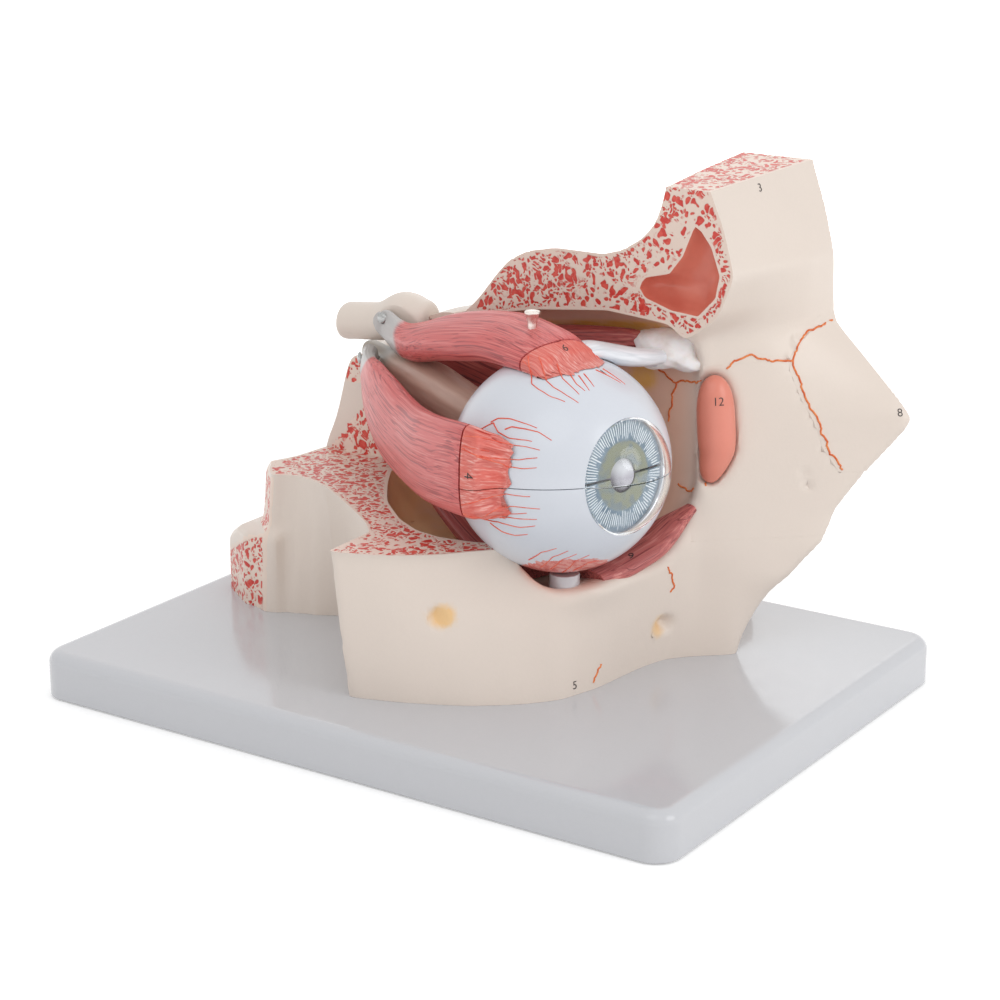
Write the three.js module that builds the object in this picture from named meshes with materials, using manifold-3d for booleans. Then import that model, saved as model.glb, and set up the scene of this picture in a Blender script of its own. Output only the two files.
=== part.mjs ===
// Eye anatomy model: a right eye in its bony orbit, three times life size, on a flat base.
// Millimetres. +X is the way the eye looks, +Y is the nose side, +Z is up.
// The origin is the centre of the underside.
import * as THREE from 'three';
import * as BufferGeometryUtils from 'three/addons/utils/BufferGeometryUtils.js';
import Module from 'manifold-3d';

const wasm = await Module();
wasm.setup();

// Clearances
const GAP = 0.3;              // between pieces that touch
const HOLE_PLAY = 0.35;       // round a pin or a screw in its hole

// Base
const BASE_LENGTH = 260;
const BASE_WIDTH = 195;
const BASE_TOP = 17.4;
const BASE_CORNER = 9.5;
const BASE_EDGE = 4.5;
const BASE_WALL = 3.2;
const FOOT_RADIUS = 8;
const FOOT_DROP = 0.5;        // how far the feet stand below the tray's rim
const FOOT_INSET = 26;
const COVER_THICK = 2;
const COVER_RECESS = 0.7;

// Screws that hold the bones, from below
const SCREW_RADIUS = 2;
const SCREW_HEAD_RADIUS = 4;
const SCREW_HEAD_THICK = 3;
const SCREW_BITE = 14;
const SCREW_PLACES = [[22, -42], [-84, 6], [-30, 66]];

// Planes of the cuts through the skull
const SIDE_CUT_Z = 69;        // level of the cut through the side wall
const ROOF_CUT_Y = 28;        // upright cut through roof and forehead
const MIDLINE_Y = 84;
const FOREHEAD_TOP = 184.3;   // height of the forehead's cut at the roof cut
const FOREHEAD_TOP_RISE = 4;  // and how much higher it is at the midline
const BONE_CELL = 7.8;        // size of the facets of the bones

// Eyeball
const EYE = new THREE.Vector3(40, -17, 96);
const EYE_YAW = -13.7;        // degrees, towards the temple
const EYE_PITCH = 3.4;        // degrees, upwards
const GLOBE_RADIUS = 37.5;
const SCLERA_WALL = 4;
const LIMBUS_RADIUS = 19.7;
const CORNEA_CURVE = 24;
const CORNEA_WALL = 1.6;
const CHOROID_WALL = 2.4;
const IRIS_SETBACK = 3.1;      // the iris' rear face behind the cornea's rim
const IRIS_THICK = 0.8;
const IRIS_PLAY = 0.5;        // round the iris, in the opening of the white shell
const PUPIL_RADIUS = 5.5;
const LENS_RADIUS = 13;
const LENS_THICK = 12;
const LENS_BULGE = 0.5;       // how far the lens stands into the pupil
const PEG_RADIUS = 1.1;
const PEG_RISE = 3;
const PEG_ANGLES = [100, -125];
const SEAM = GAP;             // gap between the upper and lower halves

// Muscles
const MUSCLE_SIDES = 12;
const RECTUS_LIFT = 0.5;      // how far the muscles lie above the globe
const SUPERIOR_PIVOT = new THREE.Vector3(-60, 20.5, 125.8);
const SUPERIOR_EYE_RADIUS = 4.6;
const SUPERIOR_PLATE = 4;
const LATERAL_PIVOT = new THREE.Vector3(-69, 22.5, 108.8);
const LATERAL_EYE_RADIUS = 3.6;
const LATERAL_PLATE = 10;
const LATERAL_SCREW_TURN = 41;  // degrees about Z
const PIVOT_SCREW_RADIUS = 1.2;
const PIVOT_HEAD_RADIUS = 2.1;
const PIVOT_HEAD_THICK = 1.4;
const SUPERIOR_SEAM = [37.6, -25];   // a spot [x, y] where the muscle meets its end on the eyeball
const SUPERIOR_SEAM_TURN = 24;       // degrees, how far that seam is turned from square to X
const LATERAL_SEAM_X = 29;
const SEAM_PLAY = 0.8;               // between a muscle and its end

// Retaining pin
const PIN_PLACE = [27, -15];
const PIN_RADIUS = 1.65;
const PIN_HEAD_RADIUS = 2.7;
const PIN_TOP = 146.2;
const PIN_BITE = 1.2;         // depth in the eyeball
const PIN_SLOT = 3.2;         // its slot in the eyeball reaches this far back

// Post under the eyeball
const POST_PLACE = [45, -22];
const POST_RADIUS = 5.2;
const POST_LENGTH = 9;        // from its foot in the bone's socket to the eyeball's underside

const COLOURS = {
  base: [0xe9eaee, 0.25, 0],
  board: [0xd8d8d8, 0.7, 0],
  rubber: [0x2b2b2b, 0.9, 0],
  metal: [0xc9c9c6, 0.25, 1],
  bone: [0xdcc9b8, 0.6, 0],
  muscle: [0xc0505a, 0.5, 0],
  darkMuscle: [0x86343a, 0.55, 0],
  tendon: [0xf0f0f0, 0.4, 0],
  nerve: [0xb59a8a, 0.55, 0],
  sac: [0xe0836f, 0.45, 0],
  sclera: [0xf2f5f9, 0.3, 0],
  cornea: [0xe8f0f4, 0.05, 0],
  choroid: [0x5a2e28, 0.6, 0],
  iris: [0x8fa2ae, 0.4, 0],
  lens: [0xf4f4ea, 0.1, 0],
  vitreous: [0xe6eef0, 0.08, 0],
};

const model = new THREE.Group();

// Solids and meshes

function solidOf(geometry) {
  const bare = geometry.clone();
  bare.deleteAttribute('normal');
  bare.deleteAttribute('uv');
  const merged = BufferGeometryUtils.mergeVertices(bare, 1e-4);
  const mesh = new wasm.Mesh({
    numProp: 3,
    vertProperties: new Float32Array(merged.attributes.position.array),
    triVerts: new Uint32Array(merged.index.array),
  });
  return new wasm.Manifold(mesh);
}

function geometryOf(solid) {
  const mesh = solid.getMesh();
  const geometry = new THREE.BufferGeometry();
  geometry.setAttribute('position', new THREE.Float32BufferAttribute(mesh.vertProperties, 3));
  geometry.setIndex(new THREE.Uint32BufferAttribute(mesh.triVerts, 1));
  geometry.computeVertexNormals();
  return geometry;
}

function addPiece(name, solid, finish) {
  const [color, roughness, metalness] = COLOURS[finish];
  const material = new THREE.MeshStandardMaterial({ color, roughness, metalness });
  const mesh = new THREE.Mesh(geometryOf(solid), material);
  mesh.name = name;
  model.add(mesh);
  return solid;
}

function box(low, high) {
  const size = new THREE.Vector3(...high).sub(new THREE.Vector3(...low));
  const geometry = new THREE.BoxGeometry(size.x, size.y, size.z);
  geometry.translate(low[0] + size.x / 2, low[1] + size.y / 2, low[2] + size.z / 2);
  return solidOf(geometry);
}

// An outline of [x, z] points, pushed along Y from y0 to y1.
function sidePrism(outline, y0, y1) {
  const shape = new THREE.Shape(outline.map(([x, z]) => new THREE.Vector2(x, z)));
  const geometry = new THREE.ExtrudeGeometry(shape, { depth: y1 - y0, bevelEnabled: false });
  geometry.rotateX(Math.PI / 2);
  geometry.translate(0, y1, 0);
  return solidOf(geometry);
}

// A turned piece on an upright axis: the profile holds [radius, height] points.
function turned(profile, sides, place = [0, 0, 0]) {
  const points = profile.map(([r, z]) => new THREE.Vector2(r, z));
  const geometry = new THREE.LatheGeometry(points, sides);
  geometry.rotateX(Math.PI / 2);
  geometry.translate(...place);
  return solidOf(geometry);
}

function rod(radius, z0, z1, x, y, sides = 20) {
  return turned([[0, z0], [radius, z0], [radius, z1], [0, z1]], sides, [x, y, 0]);
}

// A closed skin through rings that have equally many points.
function loft(rings) {
  const count = rings[0].length;
  const positions = [];
  const indices = [];
  for (const ring of rings) {
    for (const p of ring) positions.push(p.x, p.y, p.z);
  }
  for (let i = 0; i < rings.length - 1; i += 1) {
    for (let j = 0; j < count; j += 1) {
      const a = i * count + j;
      const b = i * count + ((j + 1) % count);
      indices.push(a, b, b + count, a, b + count, a + count);
    }
  }
  const ends = [[0, true], [rings.length - 1, false]];
  for (const [row, first] of ends) {
    const centre = new THREE.Vector3();
    for (const p of rings[row]) centre.add(p);
    centre.divideScalar(count);
    const hub = positions.length / 3;
    positions.push(centre.x, centre.y, centre.z);
    for (let j = 0; j < count; j += 1) {
      const a = row * count + j;
      const b = row * count + ((j + 1) % count);
      if (first) indices.push(hub, b, a);
      else indices.push(hub, a, b);
    }
  }
  const geometry = new THREE.BufferGeometry();
  geometry.setAttribute('position', new THREE.Float32BufferAttribute(positions, 3));
  geometry.setIndex(indices);
  const solid = solidOf(geometry);
  return solid.volume() > 0 ? solid : solidOf(flipped(geometry));
}

function flipped(geometry) {
  const turnedRound = geometry.clone();
  const order = Array.from(geometry.index.array);
  for (let i = 0; i < order.length; i += 3) [order[i], order[i + 1]] = [order[i + 1], order[i]];
  turnedRound.setIndex(order);
  return turnedRound;
}

// A muscle: a band along stations { at, wide, thick, roll }. flat is the way its broad face looks.
// grow makes it larger all round, for the room that its neighbours leave.
function band(stations, flat, steps = 12, grow = 0) {
  const path = new THREE.CatmullRomCurve3(stations.map((s) => new THREE.Vector3(...s.at)));
  const last = stations.length - 1;
  const mix = (key, t) => {
    const i = Math.min(Math.floor(t * last), last - 1);
    const low = stations[i][key] ?? 0;
    const high = stations[i + 1][key] ?? 0;
    return low + (high - low) * (t * last - i);
  };
  const rings = [];
  for (let k = 0; k <= steps; k += 1) {
    const t = k / steps;
    const centre = path.getPoint(t);
    const along = path.getTangent(t);
    if (k === 0) centre.addScaledVector(along, -grow);
    if (k === steps) centre.addScaledVector(along, grow);
    const up = flat.clone().addScaledVector(along, -flat.dot(along)).normalize();
    up.applyAxisAngle(along, THREE.MathUtils.degToRad(mix('roll', t)));
    const side = new THREE.Vector3().crossVectors(along, up);
    const ring = [];
    for (let j = 0; j < MUSCLE_SIDES; j += 1) {
      const angle = (2 * Math.PI * j) / MUSCLE_SIDES;
      const across = Math.sign(Math.cos(angle)) * Math.abs(Math.cos(angle)) ** 0.8;
      const rise = Math.sign(Math.sin(angle)) * Math.abs(Math.sin(angle)) ** 0.8;
      ring.push(centre.clone()
        .addScaledVector(side, across * (mix('wide', t) / 2 + grow))
        .addScaledVector(up, rise * (mix('thick', t) / 2 + grow)));
    }
    rings.push(ring);
  }
  return loft(rings);
}

function largest(solid) {
  const parts = solid.decompose();
  parts.sort((a, b) => b.volume() - a.volume());
  return parts[0];
}

// Fields: negative inside, positive outside, in millimetres

const clamp = (v, low, high) => Math.min(Math.max(v, low), high);
const ease = (v) => v * v * (3 - 2 * v);

function softMax(a, b, round) {
  const h = Math.max(round - Math.abs(a - b), 0) / round;
  return Math.max(a, b) + (h * h * round) / 4;
}

function softMin(a, b, round) {
  return -softMax(-a, -b, round);
}

// Straight pieces between [place, value] points.
function along(points, place) {
  let i = 0;
  while (i < points.length - 2 && place > points[i + 1][0]) i += 1;
  const [p0, v0] = points[i];
  const [p1, v1] = points[i + 1];
  return v0 + (v1 - v0) * clamp((place - p0) / (p1 - p0), 0, 1);
}

// Distance to a closed outline of [a, b] points, negative inside.
function outlineDistance(outline, a, b) {
  let nearest = Infinity;
  let inside = false;
  for (let i = 0, j = outline.length - 1; i < outline.length; j = i, i += 1) {
    const [ax, ay] = outline[j];
    const [bx, by] = outline[i];
    const ex = bx - ax;
    const ey = by - ay;
    const t = clamp(((a - ax) * ex + (b - ay) * ey) / (ex * ex + ey * ey), 0, 1);
    nearest = Math.min(nearest, Math.hypot(a - ax - ex * t, b - ay - ey * t));
    if ((ay > b) !== (by > b) && a < ((bx - ax) * (b - ay)) / (by - ay) + ax) inside = !inside;
  }
  return inside ? -nearest : nearest;
}

function ballDistance(x, y, z, [cx, cy, cz], [rx, ry, rz]) {
  const k = Math.hypot((x - cx) / rx, (y - cy) / ry, (z - cz) / rz);
  return (k - 1) * Math.min(rx, ry, rz);
}

const CORNERS = [0, 1, 2, 3, 4, 5, 6, 7].map((c) => [c & 1, (c >> 1) & 1, c >> 2]);
const FACES = [[0, 1, 3, 2], [4, 5, 7, 6], [0, 1, 5, 4], [2, 3, 7, 6], [0, 2, 6, 4], [1, 3, 7, 5]];

// True if the corners of a cell that lie on one side hang together along its edges.
function hangTogether(inside, side) {
  const todo = [inside.indexOf(side)];
  const seen = new Set(todo);
  while (todo.length) {
    const c = todo.pop();
    for (const bit of [1, 2, 4]) {
      const next = c ^ bit;
      if (inside[next] === side && !seen.has(next)) {
        seen.add(next);
        todo.push(next);
      }
    }
  }
  return seen.size === inside.filter((v) => v === side).length;
}

function isTangled(inside) {
  if (FACES.some(([a, b, c, d]) => inside[a] === inside[c] && inside[b] === inside[d]
    && inside[a] !== inside[b])) return true;
  if (!inside.includes(true) || !inside.includes(false)) return false;
  return !hangTogether(inside, true) || !hangTogether(inside, false);
}

// Thickens the inside where it is too thin for the cells, so that the skin never touches itself.
function untangle(values, at, [nx, ny, nz], cell) {
  let changed = true;
  while (changed) {
    changed = false;
    for (let k = 0; k < nz - 1; k += 1) {
      for (let j = 0; j < ny - 1; j += 1) {
        for (let i = 0; i < nx - 1; i += 1) {
          const places = CORNERS.map(([a, b, c]) => at(i + a, j + b, k + c));
          while (isTangled(places.map((n) => values[n] < 0))) {
            const outside = places.filter((n) => values[n] >= 0);
            outside.sort((a, b) => values[a] - values[b]);
            values[outside[0]] = -0.1 * cell;
            changed = true;
          }
        }
      }
    }
  }
}

// A closed skin round the inside of a field, one corner to each cell that the surface passes.
function skin(field, low, high, cell) {
  const count = low.map((v, i) => Math.ceil((high[i] - v) / cell) + 1);
  const [nx, ny, nz] = count;
  const at = (i, j, k) => i + nx * (j + ny * k);
  const values = new Float32Array(nx * ny * nz);
  for (let k = 0; k < nz; k += 1) {
    for (let j = 0; j < ny; j += 1) {
      for (let i = 0; i < nx; i += 1) {
        const value = field(low[0] + i * cell, low[1] + j * cell, low[2] + k * cell);
        const rim = !i || !j || !k || i === nx - 1 || j === ny - 1 || k === nz - 1;
        values[at(i, j, k)] = rim ? Math.max(value, cell / 2) : value;
      }
    }
  }
  untangle(values, at, count, cell);
  const corners = CORNERS;
  const edges = [];
  for (let a = 0; a < 8; a += 1) {
    for (const bit of [1, 2, 4]) if (!(a & bit)) edges.push([a, a | bit]);
  }
  const positions = [];
  const vertexOf = new Map();
  for (let k = 0; k < nz - 1; k += 1) {
    for (let j = 0; j < ny - 1; j += 1) {
      for (let i = 0; i < nx - 1; i += 1) {
        const v = corners.map(([a, b, c]) => values[at(i + a, j + b, k + c)]);
        const sum = [0, 0, 0];
        let hits = 0;
        for (const [a, b] of edges) {
          if ((v[a] < 0) === (v[b] < 0)) continue;
          const t = v[a] / (v[a] - v[b]);
          for (let n = 0; n < 3; n += 1) sum[n] += corners[a][n] + (corners[b][n] - corners[a][n]) * t;
          hits += 1;
        }
        if (!hits) continue;
        vertexOf.set(at(i, j, k), positions.length / 3);
        const cellAt = [i, j, k];
        for (let n = 0; n < 3; n += 1) positions.push(low[n] + (cellAt[n] + sum[n] / hits) * cell);
      }
    }
  }
  const indices = [];
  const steps = [[1, 0, 0], [0, 1, 0], [0, 0, 1]];
  for (let k = 0; k < nz - 1; k += 1) {
    for (let j = 0; j < ny - 1; j += 1) {
      for (let i = 0; i < nx - 1; i += 1) {
        for (let n = 0; n < 3; n += 1) {
          const s = steps[n];
          const here = values[at(i, j, k)] < 0;
          const next = values[at(i + s[0], j + s[1], k + s[2])] < 0;
          if (here === next) continue;
          const u = steps[(n + 1) % 3];
          const w = steps[(n + 2) % 3];
          const ring = [[0, 0], [1, 0], [1, 1], [0, 1]].map(([p, q]) => vertexOf.get(at(
            i - p * u[0] - q * w[0],
            j - p * u[1] - q * w[1],
            k - p * u[2] - q * w[2],
          )));
          if (!here) ring.reverse();
          indices.push(ring[0], ring[1], ring[2], ring[0], ring[2], ring[3]);
        }
      }
    }
  }
  const geometry = new THREE.BufferGeometry();
  geometry.setAttribute('position', new THREE.Float32BufferAttribute(positions, 3));
  geometry.setIndex(indices);
  return solidOf(geometry);
}

// Base

function roundedRing(length, width, corner, z) {
  const ring = [];
  const centres = [[1, 1, 0], [-1, 1, 90], [-1, -1, 180], [1, -1, 270]];
  for (const [sx, sy, start] of centres) {
    for (let i = 0; i <= 4; i += 1) {
      const angle = THREE.MathUtils.degToRad(start + i * 22.5);
      ring.push(new THREE.Vector3(
        sx * (length / 2 - corner) + corner * Math.cos(angle),
        sy * (width / 2 - corner) + corner * Math.sin(angle),
        z,
      ));
    }
  }
  return ring;
}

function roundedSlab(length, width, corner, z0, z1) {
  return loft([roundedRing(length, width, corner, z0), roundedRing(length, width, corner, z1)]);
}

function basePlate() {
  const rings = [roundedRing(BASE_LENGTH, BASE_WIDTH, BASE_CORNER, FOOT_DROP)];
  for (let i = 0; i <= 4; i += 1) {
    const angle = (i * Math.PI) / 8;
    const inset = BASE_EDGE * (1 - Math.cos(angle));
    rings.push(roundedRing(
      BASE_LENGTH - 2 * inset,
      BASE_WIDTH - 2 * inset,
      BASE_CORNER - inset,
      BASE_TOP - BASE_EDGE * (1 - Math.sin(angle)),
    ));
  }
  const hollow = roundedSlab(
    BASE_LENGTH - 2 * BASE_WALL,
    BASE_WIDTH - 2 * BASE_WALL,
    BASE_CORNER - BASE_WALL,
    FOOT_DROP - 1,
    BASE_TOP - BASE_WALL,
  );
  let plate = loft(rings).subtract(hollow);
  for (const [x, y] of SCREW_PLACES) {
    plate = plate.subtract(rod(SCREW_RADIUS + HOLE_PLAY, 0, BASE_TOP + 1, x, y));
  }
  return plate;
}

const COVER_LOW = FOOT_DROP + COVER_RECESS;

function buildBase() {
  addPiece('base_plate', basePlate(), 'base');
  const cover = roundedSlab(
    BASE_LENGTH - 2 * BASE_WALL - 2 * GAP,
    BASE_WIDTH - 2 * BASE_WALL - 2 * GAP,
    BASE_CORNER - BASE_WALL - GAP,
    COVER_LOW,
    COVER_LOW + COVER_THICK,
  );
  addPiece('base_cover', cover, 'board');
  let number = 1;
  for (const sx of [-1, 1]) {
    for (const sy of [-1, 1]) {
      const x = sx * (BASE_LENGTH / 2 - FOOT_INSET);
      const y = sy * (BASE_WIDTH / 2 - FOOT_INSET);
      addPiece(`base_foot_${number}`, rod(FOOT_RADIUS, 0, COVER_LOW - GAP, x, y, 24), 'rubber');
      number += 1;
    }
  }
}

function boneScrew([x, y]) {
  const headTop = BASE_TOP - BASE_WALL - GAP;
  const tip = BASE_TOP + SCREW_BITE;
  return turned([
    [0, headTop - SCREW_HEAD_THICK],
    [SCREW_HEAD_RADIUS, headTop - SCREW_HEAD_THICK],
    [SCREW_HEAD_RADIUS, headTop],
    [SCREW_RADIUS, headTop],
    [SCREW_RADIUS, tip - SCREW_RADIUS],
    [0, tip],
  ], 16, [x, y, 0]);
}

// Bones

// The face's front surface: x for a given y and z, from curves at several heights.
const FRONT_CURVES = [
  [17, [[-72, -12], [-66, 7], [-56, 28], [-45, 42], [-34, 51], [-18, 55.5], [8, 58], [20, 61], [28, 68],
    [38, 80], [46, 79], [60, 64], [84, 52]]],
  [45, [[-72, -12], [-66, 4], [-56, 20], [-45, 35], [-34, 48], [-18, 57], [8, 61], [20, 62.5], [30, 68],
    [46, 88], [84, 122]]],
  [57, [[-72, -13], [-66, 2], [-56, 15], [-45, 28], [-34, 47], [-20, 61], [8, 63], [20, 63], [30, 68],
    [56, 98], [84, 124]]],
  [69, [[-72, -15], [-66, 0], [-56, 14], [-47, 21.4], [-36, 31], [-20, 46], [8, 60], [30, 65], [40, 76],
    [64, 104], [84, 125]]],
  [101, [[30, 64], [40, 68], [55, 86], [70, 105], [84, 124]]],
  [118, [[30, 62], [40, 66], [55, 82], [70, 95], [84, 106]]],
  [132, [[28, 62], [40, 67], [55, 78], [70, 86], [84, 91]]],
  [141, [[28, 74], [40, 76], [55, 81], [70, 87], [84, 90]]],
  [156, [[28, 80], [40, 82], [55, 85], [70, 88], [84, 89.5]]],
  [172, [[28, 75.5], [84, 85.5]]],
  [189, [[28, 68], [84, 79.5]]],
];

function frontSurface(y, z) {
  const rows = FRONT_CURVES.map(([height, curve]) => [height, along(curve, y)]);
  return along(rows, z);
}

// Level of the cranial side at the roof cut: [x, z].
const ROOF_OUTLINE = [
  [-96, 71], [-90.5, 79], [-87.5, 88], [-85.5, 97], [-83, 106], [-76, 108], [-60, 113], [-51, 124],
  [-44, 127.6], [-36, 129.3], [-29, 130.8], [-24, 135], [-17, 143.5], [-11, 150], [-3, 154.3], [8, 157.3], [28, 157.8], [36, 160],
  [44, 164.7], [49, 170.5], [52, 178], [53.5, 184], [55, 200],
];
const ROOF_OUTLINE_MIDLINE = [
  [-104, 104], [-86, 108.5], [-72, 113], [-64, 116], [-58, 119], [-51, 122.5], [-40, 127], [-20, 131],
  [30, 134], [44, 142], [49, 156], [51, 175], [52, 200],
];

function roofLevel(x, y) {
  const share = ease(clamp((y - ROOF_CUT_Y) / 36, 0, 1));
  const side = along(ROOF_OUTLINE, x);
  const middle = along(ROOF_OUTLINE_MIDLINE, x);
  return side + (middle - side) * share;
}

// The plan outline behind the face: [x, y].
const PLAN = [
  [-16, -110], [160, -110], [160, MIDLINE_Y + 40], [-104, MIDLINE_Y + 40], [-100, 60], [-95, 30], [-97, 12],
  [-102, 0], [-88.5, -13.6], [-84.5, -10.8], [-79, -9.3], [-73, -9.8], [-63.5, -13.8], [-53, -20.3],
  [-40.5, -29], [-31.5, -35.5], [-24.5, -41], [-18, -48],
];
// The ledge at the lower left rear: plan [x, y] and top [x, z].
const LEDGE_PLAN = [[-122, 3], [-116, -6], [-100, -17], [-84, -18], [-84, MIDLINE_Y + 40], [-125, MIDLINE_Y + 40]];
const LEDGE_TOP = [[-124, 32], [-116, 40], [-108, 45], [-84, 47]];

// The orbit's hollow: plan [x, y] and floor and roof [x, z].
const ORBIT_PLAN = [
  [-78, 37], [-75, 30], [-55, 8], [-34, -16.5], [-18, -30.5], [-6, -37.4], [5, -39.5], [18, -37.5], [26, -34.2],
  [37, -35], [60, -42], [160, -60], [160, 30], [66, 31], [60, 40], [20, 44], [-40, 42], [-70, 40],
];
const ORBIT_FLOOR = [
  [-80, 84], [-70, 76], [-55, 66], [-30, 57], [0, 52], [25, 50.5], [40, 52.5], [50, 56], [57, 58.5], [64, 58.5],
  [74, 53], [160, 20],
];
const ORBIT_ROOF = [[-80, 112], [-60, 121], [-30, 129], [0, 135], [30, 138.5], [55, 137], [63, 134], [75, 134],
  [160, 134]];

function orbitDistance(x, y, z) {
  const plan = outlineDistance(ORBIT_PLAN, x, y);
  const sill = y > 14 ? ease(clamp((y - 14) / 22, 0, 1)) * 10 : 0;
  const height = Math.max(along(ORBIT_FLOOR, x) + sill - z, z - along(ORBIT_ROOF, x));
  return softMax(plan, height, 16);
}

// The hollow of the nose, open at the midline and at the front.
const NOSE_EDGE = [[17, 44.5], [30, 50.5], [40, 55.5], [50, 61.5], [58, 67], [69, 70.5], [76, 75], [88, 82.5],
  [101, 90]];
const NOSE_LOW = 30;
const NOSE_HIGH = 124;
const NOSE_REAR = -60;
const NOSE_WALL_Y = 59;
const NOSE_BONE_THICK = 9;

function noseDistance(x, y, z) {
  const height = Math.max(NOSE_LOW - z, z - NOSE_HIGH);
  const chamber = softMax(softMax(NOSE_WALL_Y - y, height, 18), NOSE_REAR - x, 18);
  const behindFront = x - (frontSurface(y, z) - NOSE_BONE_THICK);
  const opening = Math.max(softMax(along(NOSE_EDGE, z) - y, 62 - x, 12), z - 99);
  return Math.min(softMax(chamber, behindFront, 6), opening);
}

const SAC_PLACE = [68.5, 39.5, 98.8];
const SAC_RADII = [7.2, 6, 19.3];
const SAC_TURN = 42;          // degrees about Z
const SAC_LEAN = -4;          // degrees about Y

// How far the rear block's foot stands out in -Y from its top: [x, mm]. Past the middle it draws back.
const BLOCK_LEAN = [[-92, 6], [-78, 6], [-70, 1.5], [-62, -6.5], [-50, -8], [-30, 0]];

function lowerLean(x, z) {
  return along(BLOCK_LEAN, x) * clamp((SIDE_CUT_Z - z) / 52, 0, 1);
}

// How far the cheek's cut end leans in X, below the side wall's cut.
const CHEEK_END_LEAN = 6;

function cheekLean(x, y, z) {
  const share = clamp((x + 40) / 15, 0, 1) * clamp((-44 - y) / 8, 0, 1);
  return CHEEK_END_LEAN * share * clamp((SIDE_CUT_Z - z) / 52, 0, 1);
}

function skullDistance(x, y, z) {
  const front = (x - frontSurface(y, z)) * 0.8;
  const plan = outlineDistance(PLAN, x - cheekLean(x, y, z), y + lowerLean(x, z));
  const step = softMax(outlineDistance(LEDGE_PLAN, x, y), z - along(LEDGE_TOP, x), 4);
  let solid = softMax(front, softMin(plan, step, 5), 5);
  const roof = z - roofLevel(x, y);
  solid = softMax(solid, roof, 7);
  solid = softMax(solid, -orbitDistance(x, y, z), 5);
  return softMax(solid, -noseDistance(x, y, z), 6);
}

// Seams between the castings
const NASAL_OUTLINE = [[66, 82], [63, 91], [62, 100], [60.5, 109], [59.7, 118], [61, 122.5], [66.5, 127.5],
  [73, 131], [82, 132.5], [120, 132.5], [120, 82]];   // seen from the front: [y, z]
const NASAL_REAR_X = 71;
const FRONTAL_SEAM_Z = 121.4;
const TEMPLE_FRONT_X = -32;   // side wall seam between temple and cheek
const MEDIAL_SEAM_Z = 60;     // seam between cheek and nose side wall

// The outline seen from the front, moved outwards by gap and pushed along X.
function nasalPrism(gap) {
  const shape = new THREE.Shape(NASAL_OUTLINE.map(([y, z]) => new THREE.Vector2(
    y - gap,
    z + Math.sign(z - 107) * gap,
  )));
  const geometry = new THREE.ExtrudeGeometry(shape, { depth: 200, bevelEnabled: false });
  geometry.rotateX(Math.PI / 2);
  geometry.rotateZ(Math.PI / 2);
  geometry.translate(NASAL_REAR_X - gap, 0, 0);
  return solidOf(geometry);
}

function buildSkull() {
  const low = [-128, -80, BASE_TOP - 9];
  const high = [132, MIDLINE_Y + 12, 200];
  let skull = skin(skullDistance, low, high, BONE_CELL);
  skull = skull.subtract(box([-200, -200, -50], [200, 200, BASE_TOP + GAP]));
  skull = skull.subtract(box([-200, MIDLINE_Y, -50], [200, 200, 250]));
  skull = skull.subtract(box([-200, -200, SIDE_CUT_Z], [200, ROOF_CUT_Y, 250]));
  const topSlope = FOREHEAD_TOP_RISE / (MIDLINE_Y - ROOF_CUT_Y);
  const top = sidePrism([[-200, 0], [200, 0], [200, 90], [-200, 90]], -150, 150)
    .rotate([THREE.MathUtils.radToDeg(Math.atan(topSlope)), 0, 0])
    .translate([0, ROOF_CUT_Y, FOREHEAD_TOP]);
  skull = largest(skull.subtract(top));

  const sacHollow = lacrimalSac(GAP);
  skull = skull.subtract(sacHollow);
  skull = skull.subtract(frontalSinus());
  for (const [x, y] of SCREW_PLACES) {
    skull = skull.subtract(rod(SCREW_RADIUS + HOLE_PLAY, 0, BASE_TOP + SCREW_BITE + GAP, x, y));
  }

  const nasalBone = largest(skull.intersect(nasalPrism(0)));
  const whole = skull.subtract(nasalPrism(GAP));
  const frontal = largest(whole.intersect(box([-200, -200, FRONTAL_SEAM_Z + GAP], [200, 200, 300])));
  const rest = whole.intersect(box([-200, -200, 0], [200, 200, FRONTAL_SEAM_Z]));

  const templeBox = [[-200, -200, 0], [TEMPLE_FRONT_X, ROOF_CUT_Y + 6, 200]];
  const temple = largest(rest.intersect(box(...templeBox)));
  const beyond = rest.subtract(box(
    templeBox[0],
    [TEMPLE_FRONT_X + GAP, ROOF_CUT_Y + 6 + GAP, 200],
  ));
  const medialLow = [-200, ROOF_CUT_Y, MEDIAL_SEAM_Z];
  const medial = largest(beyond.intersect(box(medialLow, [200, 200, 200])));
  const cheek = largest(beyond.subtract(box(
    [-200, ROOF_CUT_Y - GAP, MEDIAL_SEAM_Z - GAP],
    [200, 200, 200],
  )));
  return { frontal, nasalBone, temple, medial, cheek, sacHollow };
}

function lacrimalSac(grow) {
  const geometry = new THREE.SphereGeometry(1, 12, 8);
  geometry.rotateX(Math.PI / 2);
  geometry.scale(SAC_RADII[0] + grow, SAC_RADII[1] + grow, SAC_RADII[2] + grow);
  geometry.rotateZ(THREE.MathUtils.degToRad(SAC_TURN));
  geometry.rotateY(THREE.MathUtils.degToRad(SAC_LEAN));
  geometry.translate(...SAC_PLACE);
  return solidOf(geometry);
}

const SINUS_OUTLINE = [[43, 148.5], [45.5, 145], [56, 141.8], [66.5, 141], [73, 148], [74.5, 156], [71, 165.5],
  [67, 170.5], [64.5, 172], [60, 161], [55, 154.5], [45.5, 152]];
const SINUS_DEPTH = 11;

function frontalSinus() {
  return sidePrism(SINUS_OUTLINE, ROOF_CUT_Y - 5, ROOF_CUT_Y + SINUS_DEPTH);
}

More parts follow.
